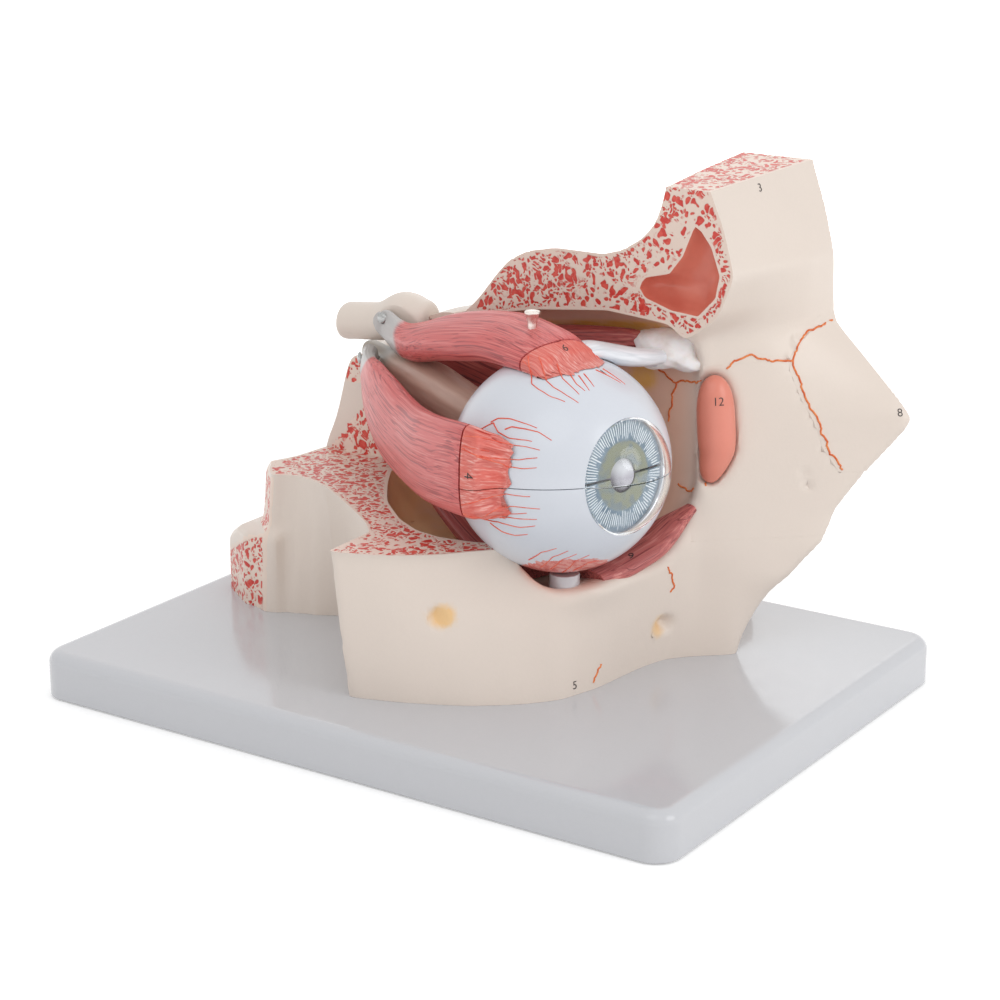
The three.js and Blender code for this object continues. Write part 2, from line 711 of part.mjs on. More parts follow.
// The stub of the lesser wing: a round bar along X with a knob at its front end.
const WING_CENTRE = [30, 119.3];   // [y, z] at the bar's rear end
const WING_RISE = 0.11;            // how much it climbs towards the front
const WING_RADIUS = 7.1;
const WING_REAR_X = -86.5;
const WING_FRONT_X = -47;
const WING_KNOB = [-57.5, 30, 125];
const WING_KNOB_RADIUS = 8.6;

function lesserWing(grow = 0) {
  const field = (x, y, z) => {
    const height = WING_CENTRE[1] + WING_RISE * (x - WING_REAR_X);
    const bar = Math.hypot(y - WING_CENTRE[0], z - height) - WING_RADIUS;
    const ends = Math.max(WING_REAR_X - x, x - WING_FRONT_X);
    const knob = ballDistance(x, y, z, WING_KNOB, [WING_KNOB_RADIUS * 1.15, WING_KNOB_RADIUS, WING_KNOB_RADIUS]);
    return softMin(softMax(bar, ends, 3), knob, 4) - grow;
  };
  return skin(field, [-98, 16, 106], [-38, 46, 140], 4.4);
}

// Eyeball, built round its own axis (+X) and then turned into place

function placed(solid) {
  return solid.rotate([0, -EYE_PITCH, 0]).rotate([0, 0, EYE_YAW]).translate(EYE.toArray());
}

// A ring-shaped or full turned piece about the eye's axis: [distance along the axis, radius].
function eyeTurned(profile, sides) {
  const points = profile.map(([x, r]) => new THREE.Vector2(Math.max(r, 0), x));
  const geometry = new THREE.LatheGeometry(points, sides);
  geometry.rotateZ(-Math.PI / 2);
  const solid = solidOf(geometry);
  return solid.volume() > 0 ? solid : solidOf(flipped(geometry));
}

// Points of a circle of the given radius and centre on the axis, from angle a to b (degrees).
function arcPoints(radius, centre, a, b, steps) {
  const points = [];
  for (let i = 0; i <= steps; i += 1) {
    const angle = THREE.MathUtils.degToRad(a + ((b - a) * i) / steps);
    points.push([centre + radius * Math.cos(angle), radius * Math.sin(angle)]);
  }
  return points;
}

// The same, from the rear pole to the ring of the given radius, with every shell's rings in line.
function shellArc(radius, opening) {
  const end = degrees(Math.asin(opening / radius));
  const points = [];
  for (let angle = 180; angle > end + EYE_STEP / 3; angle -= EYE_STEP) {
    points.push([radius * Math.cos(angle / DEGREE), radius * Math.sin(angle / DEGREE)]);
  }
  points.push([radius * Math.cos(end / DEGREE), opening]);
  return points;
}

const DEGREE = THREE.MathUtils.radToDeg(1);
const degrees = THREE.MathUtils.radToDeg;
const SCLERA_INNER = GLOBE_RADIUS - SCLERA_WALL;
const CHOROID_OUTER = SCLERA_INNER - GAP;
const CHOROID_INNER = CHOROID_OUTER - CHOROID_WALL;
const VITREOUS_RADIUS = CHOROID_INNER - GAP;
const LIMBUS_ANGLE = degrees(Math.asin(LIMBUS_RADIUS / GLOBE_RADIUS));
const LIMBUS_X = GLOBE_RADIUS * Math.cos(THREE.MathUtils.degToRad(LIMBUS_ANGLE));
const CORNEA_CENTRE = LIMBUS_X - Math.sqrt(CORNEA_CURVE ** 2 - LIMBUS_RADIUS ** 2);
const EYE_SIDES = 24;
const EYE_STEP = 15;          // degrees between the rings of the eyeball's facets

function openShell(outer, inner, openingRadius) {
  const outside = shellArc(outer, openingRadius).reverse();
  const inside = shellArc(inner, openingRadius);
  return eyeTurned([...outside, ...inside, outside[0]], EYE_SIDES);
}

function cornea() {
  const rim = degrees(Math.asin(LIMBUS_RADIUS / CORNEA_CURVE));
  const outer = arcPoints(CORNEA_CURVE, CORNEA_CENTRE + GAP, 0, rim, 5);
  const inner = arcPoints(CORNEA_CURVE - CORNEA_WALL, CORNEA_CENTRE + GAP, rim, 0, 5);
  return eyeTurned([...outer, ...inner], EYE_SIDES);
}

const IRIS_PLANE = LIMBUS_X - IRIS_SETBACK;

function iris() {
  const radius = LIMBUS_RADIUS - IRIS_PLAY;
  return eyeTurned([
    [IRIS_PLANE, PUPIL_RADIUS],
    [IRIS_PLANE + IRIS_THICK, PUPIL_RADIUS],
    [IRIS_PLANE + IRIS_THICK, radius],
    [IRIS_PLANE, radius],
    [IRIS_PLANE, PUPIL_RADIUS],
  ], EYE_SIDES);
}

const LENS_FRONT = IRIS_PLANE + LENS_BULGE;
const LENS_CURVE = (LENS_RADIUS ** 2 + (LENS_THICK / 2) ** 2) / LENS_THICK;
const LENS_CENTRE = LENS_FRONT - LENS_THICK / 2;

function lensShape(grow) {
  const radius = LENS_CURVE + grow;
  const half = degrees(Math.asin(LENS_RADIUS / LENS_CURVE));
  const front = arcPoints(radius, LENS_CENTRE + LENS_THICK / 2 - LENS_CURVE, 0, half, 3);
  const rear = front.map(([x, r]) => [2 * LENS_CENTRE - x, r]).reverse();
  return eyeTurned([...front, ...rear], EYE_SIDES);
}

const VITREOUS_FRONT = LENS_CENTRE + 2.6;

function vitreous() {
  const opening = Math.sqrt(VITREOUS_RADIUS ** 2 - VITREOUS_FRONT ** 2);
  const solid = eyeTurned([[VITREOUS_FRONT, 0], ...shellArc(VITREOUS_RADIUS, opening).reverse()], EYE_SIDES);
  const pocket = lensShape(GAP).add(eyeTurned([
    [LENS_CENTRE, 0], [LENS_CENTRE, LENS_RADIUS + GAP * 1.5], [50, LENS_RADIUS + GAP * 1.5], [50, 0],
  ].reverse(), EYE_SIDES));
  return solid.subtract(pocket);
}

function halves(solid) {
  const upper = solid.subtract(box([-80, -80, -80], [80, 80, SEAM / 2]));
  const lower = solid.subtract(box([-80, -80, -SEAM / 2], [80, 80, 80]));
  return [upper, lower];
}

// The globe without its parts, larger all round by grow.
function globeRoom(grow) {
  return placed(eyeTurned(shellArc(GLOBE_RADIUS + grow, 0).reverse(), EYE_SIDES));
}

function planPrism(outline, z0, z1) {
  const shape = new THREE.Shape(outline.map(([x, y]) => new THREE.Vector2(x, y)));
  const geometry = new THREE.ExtrudeGeometry(shape, { depth: z1 - z0, bevelEnabled: false });
  geometry.translate(0, 0, z0);
  return solidOf(geometry);
}

// How far the muscle ends reach over the eyeball: [x, y] from above, and [x, z] from the side.
const SUPERIOR_FRINGE = [[0, 20], [0, -60], [33, -60], [36, -38], [47, -33.8], [52.3, -28.6], [55.6, -19],
  [54.3, -10], [48, -2], [44, 20]];
const LATERAL_FRINGE = [[0, 60], [0, 130], [36, 130], [40, 117], [46, 112], [44.5, 103], [47.5, 99], [42.5, 92.5],
  [45.5, 88], [43, 83], [36, 60]];

function buildEyeball() {
  const pinSlot = rod(PIN_RADIUS + HOLE_PLAY, pinFoot() - GAP, 150, ...PIN_PLACE)
    .add(rod(PIN_RADIUS + HOLE_PLAY, pinFoot() - GAP, 150, PIN_PLACE[0] - PIN_SLOT, PIN_PLACE[1]))
    .add(box(
      [PIN_PLACE[0] - PIN_SLOT, PIN_PLACE[1] - PIN_RADIUS - HOLE_PLAY, pinFoot() - GAP],
      [PIN_PLACE[0], PIN_PLACE[1] + PIN_RADIUS + HOLE_PLAY, 150],
    ));
  const [scleraUpper, scleraLower] = halves(openShell(GLOBE_RADIUS, SCLERA_INNER, LIMBUS_RADIUS));
  const [corneaUpper, corneaLower] = halves(cornea());
  const [choroidUpper, choroidLower] = halves(openShell(CHOROID_OUTER, CHOROID_INNER, LIMBUS_RADIUS));
  const [irisUpper, irisLower] = halves(iris());
  const pegRadius = GLOBE_RADIUS - SCLERA_WALL / 2;
  const pegAt = (angle) => [
    pegRadius * Math.cos(THREE.MathUtils.degToRad(angle)),
    pegRadius * Math.sin(THREE.MathUtils.degToRad(angle)),
  ];
  let upper = scleraUpper;
  let lower = scleraLower;
  PEG_ANGLES.forEach((angle, i) => {
    const [x, y] = pegAt(angle);
    const hole = rod(PEG_RADIUS + HOLE_PLAY, -PEG_RISE - GAP, PEG_RISE + GAP, x, y, 12);
    upper = upper.subtract(hole);
    lower = lower.subtract(hole);
    addPiece(`sclera_peg_${i + 1}`, placed(rod(PEG_RADIUS, -PEG_RISE, PEG_RISE, x, y, 12)), 'sclera');
  });
  addPiece('sclera_upper', placed(upper).subtract(pinSlot), 'sclera');
  addPiece('sclera_lower', placed(lower), 'sclera');
  addPiece('cornea_upper', placed(corneaUpper), 'cornea');
  addPiece('cornea_lower', placed(corneaLower), 'cornea');
  addPiece('choroid_upper', placed(choroidUpper), 'choroid');
  addPiece('choroid_lower', placed(choroidLower), 'choroid');
  addPiece('iris_upper', placed(irisUpper), 'iris');
  addPiece('iris_lower', placed(irisLower), 'iris');
  addPiece('vitreous_body', placed(vitreous()), 'vitreous');
  addPiece('lens', placed(lensShape(0)), 'lens');

  addPiece('superior_rectus_insertion', superiorEnd(), 'muscle');
  const lateral = lateralEnd();
  const above = placed(box([-80, -80, SEAM / 2], [80, 80, 80]));
  const below = placed(box([-80, -80, -80], [80, 80, -SEAM / 2]));
  addPiece('lateral_rectus_insertion_upper', lateral.intersect(above), 'muscle');
  addPiece('lateral_rectus_insertion_lower', lateral.intersect(below), 'muscle');
}

function pinFoot() {
  const dx = PIN_PLACE[0] - EYE.x;
  const dy = PIN_PLACE[1] - EYE.y;
  return EYE.z + Math.sqrt(GLOBE_RADIUS ** 2 - dx * dx - dy * dy) - PIN_BITE;
}

// Soft parts

const UP = new THREE.Vector3(0, 0, 1);
const SIDEWAYS = new THREE.Vector3(-0.6, -0.8, 0);
const INWARDS = new THREE.Vector3(0, 1, 0);

// The superior rectus and its end on the eyeball are one band, parted at the seam.
function superiorBand() {
  const [px, py, pz] = SUPERIOR_PIVOT.toArray();
  return band([
    { at: [px + 0.5, py - 0.2, pz - 2.8], wide: SUPERIOR_PLATE, thick: 11.5 },
    { at: [-52.5, 17.2, 120.8], wide: 7, thick: 12.2, roll: 4 },
    { at: [-45, 13.6, 120.4], wide: 12, thick: 12, roll: 10 },
    { at: [-35, 9.6, 122.3], wide: 18, thick: 13, roll: 18 },
    { at: [-20, 3.4, 127.2], wide: 22.5, thick: 13.6, roll: 20 },
    { at: [-2, -4.2, 131.6], wide: 25, thick: 13.4, roll: 20 },
    { at: [15, -11.2, 134.4], wide: 26, thick: 12.4, roll: 16 },
    { at: [35, -20, 134.3], wide: 26, thick: 10, roll: 12 },
    { at: [45, -21.8, 131.6], wide: 27.5, thick: 7.2, roll: 6 },
    { at: [54, -23, 126.8], wide: 28, thick: 5, roll: 2 },
    { at: [62, -24.5, 120.5], wide: 26, thick: 4 },
  ], UP, 20);
}

// All that lies beyond the superior rectus' seam, from the given distance on.
function beyondSuperiorSeam(distance) {
  return box([distance, -90, 60], [90, 90, 190]).rotate([0, 0, -SUPERIOR_SEAM_TURN])
    .translate([SUPERIOR_SEAM[0], SUPERIOR_SEAM[1], 0]);
}

function superiorRectus() {
  const [px, py, pz] = SUPERIOR_PIVOT.toArray();
  const plate = rod(SUPERIOR_EYE_RADIUS, -SUPERIOR_PLATE / 2, SUPERIOR_PLATE / 2, 0, 0, 24)
    .rotate([90, 0, 0]).translate([px, py, pz]);
  const hole = rod(PIVOT_SCREW_RADIUS + HOLE_PLAY, -20, 20, 0, 0).rotate([90, 0, 0]).translate([px, py, pz]);
  const medialSide = box([-90, py + SUPERIOR_PLATE / 2, 60], [90, 60, 190]);
  const headRoom = rod(PIVOT_HEAD_RADIUS + 2 * GAP, 0, 30, 0, 0, 24)
    .rotate([90, 0, 0]).translate([px, py - SUPERIOR_PLATE / 2, pz]);
  return largest(superiorBand().add(plate).subtract(hole).subtract(headRoom)
    .subtract(beyondSuperiorSeam(-SEAM_PLAY / 2)).subtract(medialSide)
    .subtract(globeRoom(RECTUS_LIFT))
    .subtract(rod(PIN_RADIUS + HOLE_PLAY, 100, 170, ...PIN_PLACE)));
}

function superiorEnd() {
  return largest(superiorBand().intersect(beyondSuperiorSeam(SEAM_PLAY / 2))
    .intersect(planPrism(SUPERIOR_FRINGE, EYE.z + 10, 160)).subtract(globeRoom(GAP)));
}

function lateralScrewSpot(solid) {
  return solid.rotate([0, 90, 0]).rotate([0, 0, LATERAL_SCREW_TURN]).translate(LATERAL_PIVOT.toArray());
}

function lateralBand() {
  const [px, py, pz] = LATERAL_PIVOT.toArray();
  return band([
    { at: [px + 1, py - 1, pz - 0.2], wide: LATERAL_PLATE - 0.5, thick: 4.5 },
    { at: [-66, 17.4, 107.1], wide: 12, thick: 5.5 },
    { at: [-62, 12.6, 104.9], wide: 16.5, thick: 6.2 },
    { at: [-54, 5, 101.4], wide: 26, thick: 8 },
    { at: [-39, -7, 97], wide: 32, thick: 10 },
    { at: [-18, -23, 95], wide: 30.5, thick: 11 },
    { at: [3, -40, 96.8], wide: 31, thick: 11 },
    { at: [28, -56, 100.6], wide: 31.4, thick: 10 },
    { at: [37, -58.2, 100.8], wide: 31.4, thick: 7.2 },
    { at: [45, -57.4, 100.2], wide: 31, thick: 5.4 },
    { at: [52, -55, 99.8], wide: 29, thick: 4.4 },
  ], SIDEWAYS, 20);
}

function lateralRectus() {
  const [px, py, pz] = LATERAL_PIVOT.toArray();
  const eye = rod(LATERAL_EYE_RADIUS, pz - LATERAL_PLATE / 2, pz + LATERAL_PLATE / 2, px, py, 20);
  const seat = lateralScrewSpot(rod(PIVOT_HEAD_RADIUS + GAP, -20, GAP - LATERAL_EYE_RADIUS + 1, 0, 0));
  const hole = lateralScrewSpot(rod(PIVOT_SCREW_RADIUS + HOLE_PLAY, -20, 20, 0, 0));
  const front = box([LATERAL_SEAM_X - SEAM_PLAY / 2, -90, 60], [90, 20, 140]);
  return largest(lateralBand().add(eye).subtract(seat).subtract(hole).subtract(front)
    .subtract(globeRoom(RECTUS_LIFT)));
}

function lateralEnd() {
  const front = box([LATERAL_SEAM_X + SEAM_PLAY / 2, -90, 60], [90, 20, 140]);
  return lateralBand().intersect(front).intersect(sidePrism(LATERAL_FRINGE, -90, EYE.y - 5))
    .subtract(globeRoom(GAP));
}

function pivotScrew(length, grow) {
  return turned([
    [0, 0],
    [PIVOT_SCREW_RADIUS + grow, 0],
    [PIVOT_SCREW_RADIUS + grow, length],
    [PIVOT_HEAD_RADIUS + grow, length],
    [PIVOT_HEAD_RADIUS * 0.85 + grow, length + PIVOT_HEAD_THICK],
    [0, length + PIVOT_HEAD_THICK],
  ], 16);
}

function retainingPin() {
  return turned([
    [0, pinFoot()],
    [PIN_RADIUS, pinFoot()],
    [PIN_RADIUS, PIN_TOP - 4],
    [PIN_HEAD_RADIUS, PIN_TOP - 1],
    [PIN_HEAD_RADIUS, PIN_TOP],
    [0, PIN_TOP],
  ], 20, [...PIN_PLACE, 0]);
}

const NERVE = [
  { at: [6, -6.8, 101.5], wide: 15, thick: 15 },
  { at: [-12, -1, 104.5], wide: 16, thick: 16 },
  { at: [-32, 9, 106.5], wide: 17, thick: 17 },
  { at: [-52, 20, 107], wide: 12, thick: 11.4 },
  { at: [-66, 30.6, 106.8], wide: 7.5, thick: 7.5 },
  { at: [-80, 38, 107], wide: 8, thick: 8 },
];
const MEDIAL_RECTUS = [
  { at: [-70, 41.5, 106], wide: 9, thick: 5 },
  { at: [-58, 35.5, 107.5], wide: 13, thick: 6 },
  { at: [-40, 33.5, 107], wide: 20, thick: 8 },
  { at: [-14, 30, 103], wide: 25, thick: 9 },
  { at: [8, 25, 100], wide: 27, thick: 8 },
  { at: [26, 20.5, 98], wide: 26, thick: 6 },
];
const INFERIOR_RECTUS = [
  { at: [-74, 30, 93], wide: 8, thick: 5 },
  { at: [-58, 22.5, 89], wide: 13, thick: 6 },
  { at: [-38, 14, 79.5], wide: 20, thick: 7 },
  { at: [-12, 3, 66], wide: 25, thick: 8 },
  { at: [12, -8, 57.5], wide: 27, thick: 8 },
  { at: [31, -15, 55.5], wide: 26, thick: 6 },
];
const SUPERIOR_OBLIQUE = [
  { at: [-70, 39, 115.5], wide: 7, thick: 5 },
  { at: [-52, 38, 117], wide: 9, thick: 6.5 },
  { at: [-20, 38.5, 119], wide: 11, thick: 8 },
  { at: [12, 38.5, 122.5], wide: 13, thick: 8 },
  { at: [34, 36.5, 125.5], wide: 11, thick: 6.5 },
  { at: [42, 35, 126.5], wide: 8, thick: 5 },
];
const INFERIOR_OBLIQUE = [
  { at: [49.5, -13, 55.5], wide: 14, thick: 5 },
  { at: [53, 0, 57], wide: 18, thick: 6.5 },
  { at: [57.5, 12, 61], wide: 17, thick: 6.5 },
  { at: [60.5, 23, 66.5], wide: 14, thick: 6 },
  { at: [63.5, 32, 71], wide: 7, thick: 4 },
];
const OBLIQUE_TENDON = [
  { at: [50.5, ROOF_CUT_Y - 0.6, 126], wide: 9, thick: 4 },
  { at: [50, 16, 128], wide: 10, thick: 4 },
  { at: [48, 6, 130.4], wide: 12, thick: 4 },
  { at: [44.5, -3.6, 133.4], wide: 14, thick: 4 },
];

function trochleaShape(grow) {
  const geometry = new THREE.SphereGeometry(1, 14, 9);
  geometry.scale(8 + grow, 9.5 + grow, 7.5 + grow);
  geometry.translate(49.5, 36.5, 126.5);
  return solidOf(geometry).subtract(box([0, -50, 0], [100, ROOF_CUT_Y + GAP - grow, 200]));
}

function supportPost(grow) {
  const foot = EYE.z - GLOBE_RADIUS - POST_LENGTH;
  return rod(POST_RADIUS + grow, foot - grow, EYE.z, ...POST_PLACE, 24).subtract(globeRoom(GAP - grow));
}

// The room that the soft parts need in the bones.
const softRooms = [
  band(NERVE, UP, 8, GAP),
  band(MEDIAL_RECTUS, INWARDS, 8, GAP),
  band(INFERIOR_RECTUS, UP, 8, GAP),
  band(SUPERIOR_OBLIQUE, INWARDS, 8, GAP),
  band(INFERIOR_OBLIQUE, UP, 8, GAP),
  trochleaShape(GAP),
  supportPost(GAP),
];

function buildSoftParts() {
  const nerve = band(NERVE, UP, 8).subtract(globeRoom(GAP));
  const medial = band(MEDIAL_RECTUS, INWARDS, 8).subtract(globeRoom(RECTUS_LIFT)).subtract(softRooms[0]);
  const inferior = band(INFERIOR_RECTUS, UP, 8).subtract(globeRoom(RECTUS_LIFT)).subtract(softRooms[0])
    .subtract(softRooms[4]);
  const oblique = band(SUPERIOR_OBLIQUE, INWARDS, 8).subtract(softRooms[1]);
  const pulley = trochleaShape(0).subtract(softRooms[3]);
  const inferiorOblique = band(INFERIOR_OBLIQUE, UP, 8).subtract(globeRoom(RECTUS_LIFT));
  const tendon = band(OBLIQUE_TENDON, UP, 8).subtract(globeRoom(GAP));

  addPiece('optic_nerve', largest(nerve), 'nerve');
  addPiece('medial_rectus', largest(medial), 'darkMuscle');
  addPiece('inferior_rectus', largest(inferior), 'darkMuscle');
  addPiece('superior_oblique', largest(oblique), 'darkMuscle');
  addPiece('trochlea', largest(pulley), 'tendon');
  addPiece('superior_oblique_tendon', largest(tendon), 'tendon');
  addPiece('inferior_oblique', largest(inferiorOblique), 'muscle');
  addPiece('superior_rectus', superiorRectus(), 'muscle');
  addPiece('lateral_rectus', lateralRectus(), 'muscle');
  addPiece('retaining_pin', retainingPin(), 'metal');

  addPiece('support_post', supportPost(0), 'base');
}

// Everything together

buildBase();
SCREW_PLACES.forEach((place, i) => addPiece(`bone_screw_${i + 1}`, boneScrew(place), 'metal'));

const superiorScrewLength = 14;
const screwSpot = (solid, play) => solid.rotate([90, 0, 0]).translate([
  SUPERIOR_PIVOT.x,
  SUPERIOR_PIVOT.y - SUPERIOR_PLATE / 2 - GAP + superiorScrewLength + play,
  SUPERIOR_PIVOT.z,
]);
const superiorScrew = screwSpot(pivotScrew(superiorScrewLength, 0), 0);
const screwRoom = screwSpot(pivotScrew(superiorScrewLength + HOLE_PLAY, HOLE_PLAY), HOLE_PLAY);
const lateralScrewLength = LATERAL_EYE_RADIUS * 2;
const lateralScrew = lateralScrewSpot(
  pivotScrew(lateralScrewLength, 0).rotate([180, 0, 0]).translate([0, 0, LATERAL_EYE_RADIUS]),
);

const skull = buildSkull();
const boneNames = ['frontal', 'nasalBone', 'temple', 'medial', 'cheek'];
for (const room of [...softRooms, globeRoom(1.2), screwRoom]) {
  for (const name of boneNames) skull[name] = largest(skull[name].subtract(room));
}
const wingPad = box([-120, -40, 0], [0, SUPERIOR_PIVOT.y + SUPERIOR_PLATE / 2 + GAP, 200]);
let wing = lesserWing().subtract(wingPad).subtract(screwRoom);
for (const room of softRooms) wing = wing.subtract(room);
wing = largest(wing);
const wingRoom = lesserWing(GAP);
for (const name of boneNames) skull[name] = largest(skull[name].subtract(wingRoom));

addPiece('cheek_bone', skull.cheek, 'bone');
addPiece('temple_bone', skull.temple, 'bone');
addPiece('medial_wall', skull.medial, 'bone');
addPiece('frontal_bone', skull.frontal, 'bone');
addPiece('nasal_bone', skull.nasalBone, 'bone');
addPiece('lesser_wing', wing, 'bone');
addPiece('lacrimal_sac', lacrimalSac(0), 'sac');
addPiece('superior_rectus_screw', superiorScrew, 'metal');
addPiece('lateral_rectus_screw', lateralScrew, 'metal');
buildSoftParts();
buildEyeball();

export default model;
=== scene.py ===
# %% [markdown]
# Eye anatomy model: a right eye in its bony orbit, three times life size, on a flat base.
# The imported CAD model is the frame: it says where every piece is and how it moves. This script gives
# each piece its finer shape and its finish. Sizes are in millimetres until a mesh is made.
# +X is the way the eye looks, +Y is the nose side, +Z is up.

# %% Load the frame
import math

import bmesh
import bpy
import numpy as np
from mathutils import Matrix, Vector
from mathutils.bvhtree import BVHTree


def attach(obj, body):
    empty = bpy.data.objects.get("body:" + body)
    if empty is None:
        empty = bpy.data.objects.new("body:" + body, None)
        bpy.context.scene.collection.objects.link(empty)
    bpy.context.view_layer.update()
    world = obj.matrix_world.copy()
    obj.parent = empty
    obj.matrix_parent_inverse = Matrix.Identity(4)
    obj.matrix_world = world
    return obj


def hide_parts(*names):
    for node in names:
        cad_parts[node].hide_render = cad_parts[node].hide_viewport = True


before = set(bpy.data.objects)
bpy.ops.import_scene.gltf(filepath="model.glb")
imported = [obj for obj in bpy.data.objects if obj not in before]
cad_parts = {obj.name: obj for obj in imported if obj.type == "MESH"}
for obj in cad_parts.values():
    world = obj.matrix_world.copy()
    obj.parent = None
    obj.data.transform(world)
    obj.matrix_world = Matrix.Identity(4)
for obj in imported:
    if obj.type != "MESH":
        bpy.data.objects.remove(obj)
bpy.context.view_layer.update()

# %% [markdown]
# The camera stands where the base's corners and edges in the photograph say it stood.

# %% Camera
CAMERA_LENS = 92.0
CAMERA_PLACE = (0.48335, -0.71809, 0.34138)
CAMERA_TILT = 72.66
CAMERA_TURN = 33.73
camera_data = bpy.data.cameras.new("camera")
camera_data.sensor_width = 36
camera_data.lens = CAMERA_LENS
camera = bpy.data.objects.new("camera", camera_data)
camera.location = CAMERA_PLACE
camera.rotation_euler = (math.radians(CAMERA_TILT), 0, math.radians(CAMERA_TURN))
bpy.context.scene.collection.objects.link(camera)
bpy.context.scene.camera = camera

# %% [markdown]
# Node helpers. A material is a small graph: these few functions add a node, do a sum, mix two
# colours or fade from one value to another, so that each finish below reads as a recipe.


# %% Node helpers
def in_scene(name, data):
    made = bpy.data.objects.new(name, data)
    bpy.context.scene.collection.objects.link(made)
    return made


def colour(red, green, blue):
    """A colour as a screen shows it (0 to 255), made linear for the shader."""
    parts = []
    for value in (red, green, blue):
        share = value / 255
        parts.append(share / 12.92 if share < 0.04045 else ((share + 0.055) / 1.055) ** 2.4)
    return (*parts, 1.0)


def add_node(tree, kind, inputs=None, **settings):
    node = tree.nodes.new(kind)
    for key, value in settings.items():
        setattr(node, key, value)
    for socket, value in (inputs or {}).items():
        if isinstance(value, bpy.types.NodeSocket):
            tree.links.new(value, node.inputs[socket])
        else:
            node.inputs[socket].default_value = value
    return node


def calc(tree, operation, first, second=0.0, third=0.0):
    inputs = {0: first, 1: second, 2: third}
    return add_node(tree, "ShaderNodeMath", inputs, operation=operation).outputs[0]


def length_of(tree, first, second):
    first_square = calc(tree, "MULTIPLY", first, first)
    second_square = calc(tree, "MULTIPLY", second, second)
    return calc(tree, "POWER", calc(tree, "ADD", first_square, second_square), 0.5)


def vector_calc(tree, operation, first, second=None, scale=None):
    """The same for vectors; a SCALE takes its factor from scale."""
    inputs = {0: first}
    if second is not None:
        inputs[1] = second
    if scale is not None:
        inputs["Scale"] = scale
    return add_node(tree, "ShaderNodeVectorMath", inputs, operation=operation).outputs[0]


def fade(tree, value, low, high, start=0.0, end=1.0):
    """start where the value is at or below low, end at or above high, and smooth between."""
    inputs = {"Value": value, "From Min": low, "From Max": high, "To Min": start, "To Max": end}
    return add_node(tree, "ShaderNodeMapRange", inputs, interpolation_type="SMOOTHSTEP").outputs[0]


def mix_colour(tree, share, first, second, blend="MIX"):
    inputs = {0: share, 6: first, 7: second}
    node = add_node(tree, "ShaderNodeMix", inputs, data_type="RGBA", blend_type=blend)
    return node.outputs[2]


def noise(tree, place, scale, detail=2.0, roughness=0.5, distortion=0.0):
    inputs = {"Vector": place, "Scale": scale, "Detail": detail, "Roughness": roughness,
              "Distortion": distortion}
    return add_node(tree, "ShaderNodeTexNoise", inputs).outputs[0]


def object_place(tree):
    return add_node(tree, "ShaderNodeTexCoord").outputs["Object"]


def attribute(tree, name, output="Fac"):
    return add_node(tree, "ShaderNodeAttribute", attribute_name=name).outputs[output]


def new_group(name, inputs, outputs, kind="ShaderNodeTree"):
    """An empty node group: inputs and outputs are (name, socket type, default) rows."""
    tree = bpy.data.node_groups.new(name, kind)
    for label, kind, value in inputs:
        socket = tree.interface.new_socket(label, in_out="INPUT", socket_type=kind)
        if value is not None:
            socket.default_value = value
    for label, kind in outputs:
        tree.interface.new_socket(label, in_out="OUTPUT", socket_type=kind)
    return tree, tree.nodes.new("NodeGroupInput").outputs, tree.nodes.new("NodeGroupOutput").inputs


def use_group(tree, group, inputs):
    return add_node(tree, "ShaderNodeGroup", inputs, node_tree=group).outputs


def two_tones(tree, shader, value, low, high, first, second):
    tree.links.new(mix_colour(tree, fade(tree, value, low, high), first, second), shader["Base Color"])


def new_material(name, **plain):
    """A material with a Principled BSDF; plain holds values that are the same all over."""
    material = bpy.data.materials.new(name)
    material.use_nodes = True
    shader = material.node_tree.nodes["Principled BSDF"]
    for socket, value in plain.items():
        shader.inputs[socket.replace("_", " ")].default_value = value
    return material, material.node_tree, shader.inputs


def mottled_paint(name, first, second, scale, detail, depth, **plain):
    """Two close tones in soft patches, with a slight relief."""
    material, tree, shader = new_material(name, **plain)
    patches = noise(tree, object_place(tree), scale, detail)
    two_tones(tree, shader, patches, 0.35, 0.65, first, second)
    set_bump(tree, shader, patches, 0.2, depth)
    return material


def set_bump(tree, shader, height, strength, distance):
    inputs = {"Height": height, "Strength": strength, "Distance": distance}
    bump = add_node(tree, "ShaderNodeBump", inputs)
    tree.links.new(bump.outputs[0], shader["Normal"])


# %% [markdown]
# Two effects serve many finishes, so each is a node group, built once. The first is the look of a
# hand-painted cast: a slow drift of tone, fine speckle, and a faint unevenness that bends highlights.
# The second is muscle fibre: long strands that follow the muscle, with dark grooves between them.


# %% Cast finish group
def make_cast_group():
    inputs = [("Colour", "NodeSocketColor", (1, 1, 1, 1)), ("Drift", "NodeSocketFloat", 0.06),
              ("Size", "NodeSocketFloat", 30.0), ("Seed", "NodeSocketFloat", 0.0)]
    outputs = [("Colour", "NodeSocketColor"), ("Height", "NodeSocketFloat")]
    tree, given, made = new_group("cast finish", inputs, outputs)
    place = object_place(tree)
    shifted = vector_calc(tree, "ADD", place, given["Seed"])
    slow = noise(tree, shifted, given["Size"], 3.0, 0.55)
    fine = noise(tree, shifted, 900.0, 2.0, 0.6)
    drift = calc(tree, "MULTIPLY", calc(tree, "SUBTRACT", slow, 0.5), given["Drift"])
    speckle = calc(tree, "MULTIPLY", calc(tree, "SUBTRACT", fine, 0.5), 0.03)
    level = calc(tree, "ADD", calc(tree, "ADD", drift, speckle), 1.0)
    tinted = vector_calc(tree, "SCALE", given["Colour"], scale=level)
    tree.links.new(tinted, made["Colour"])
    height = calc(tree, "ADD", slow, calc(tree, "MULTIPLY", fine, 0.06))
    tree.links.new(height, made["Height"])
    return tree


cast_group = make_cast_group()


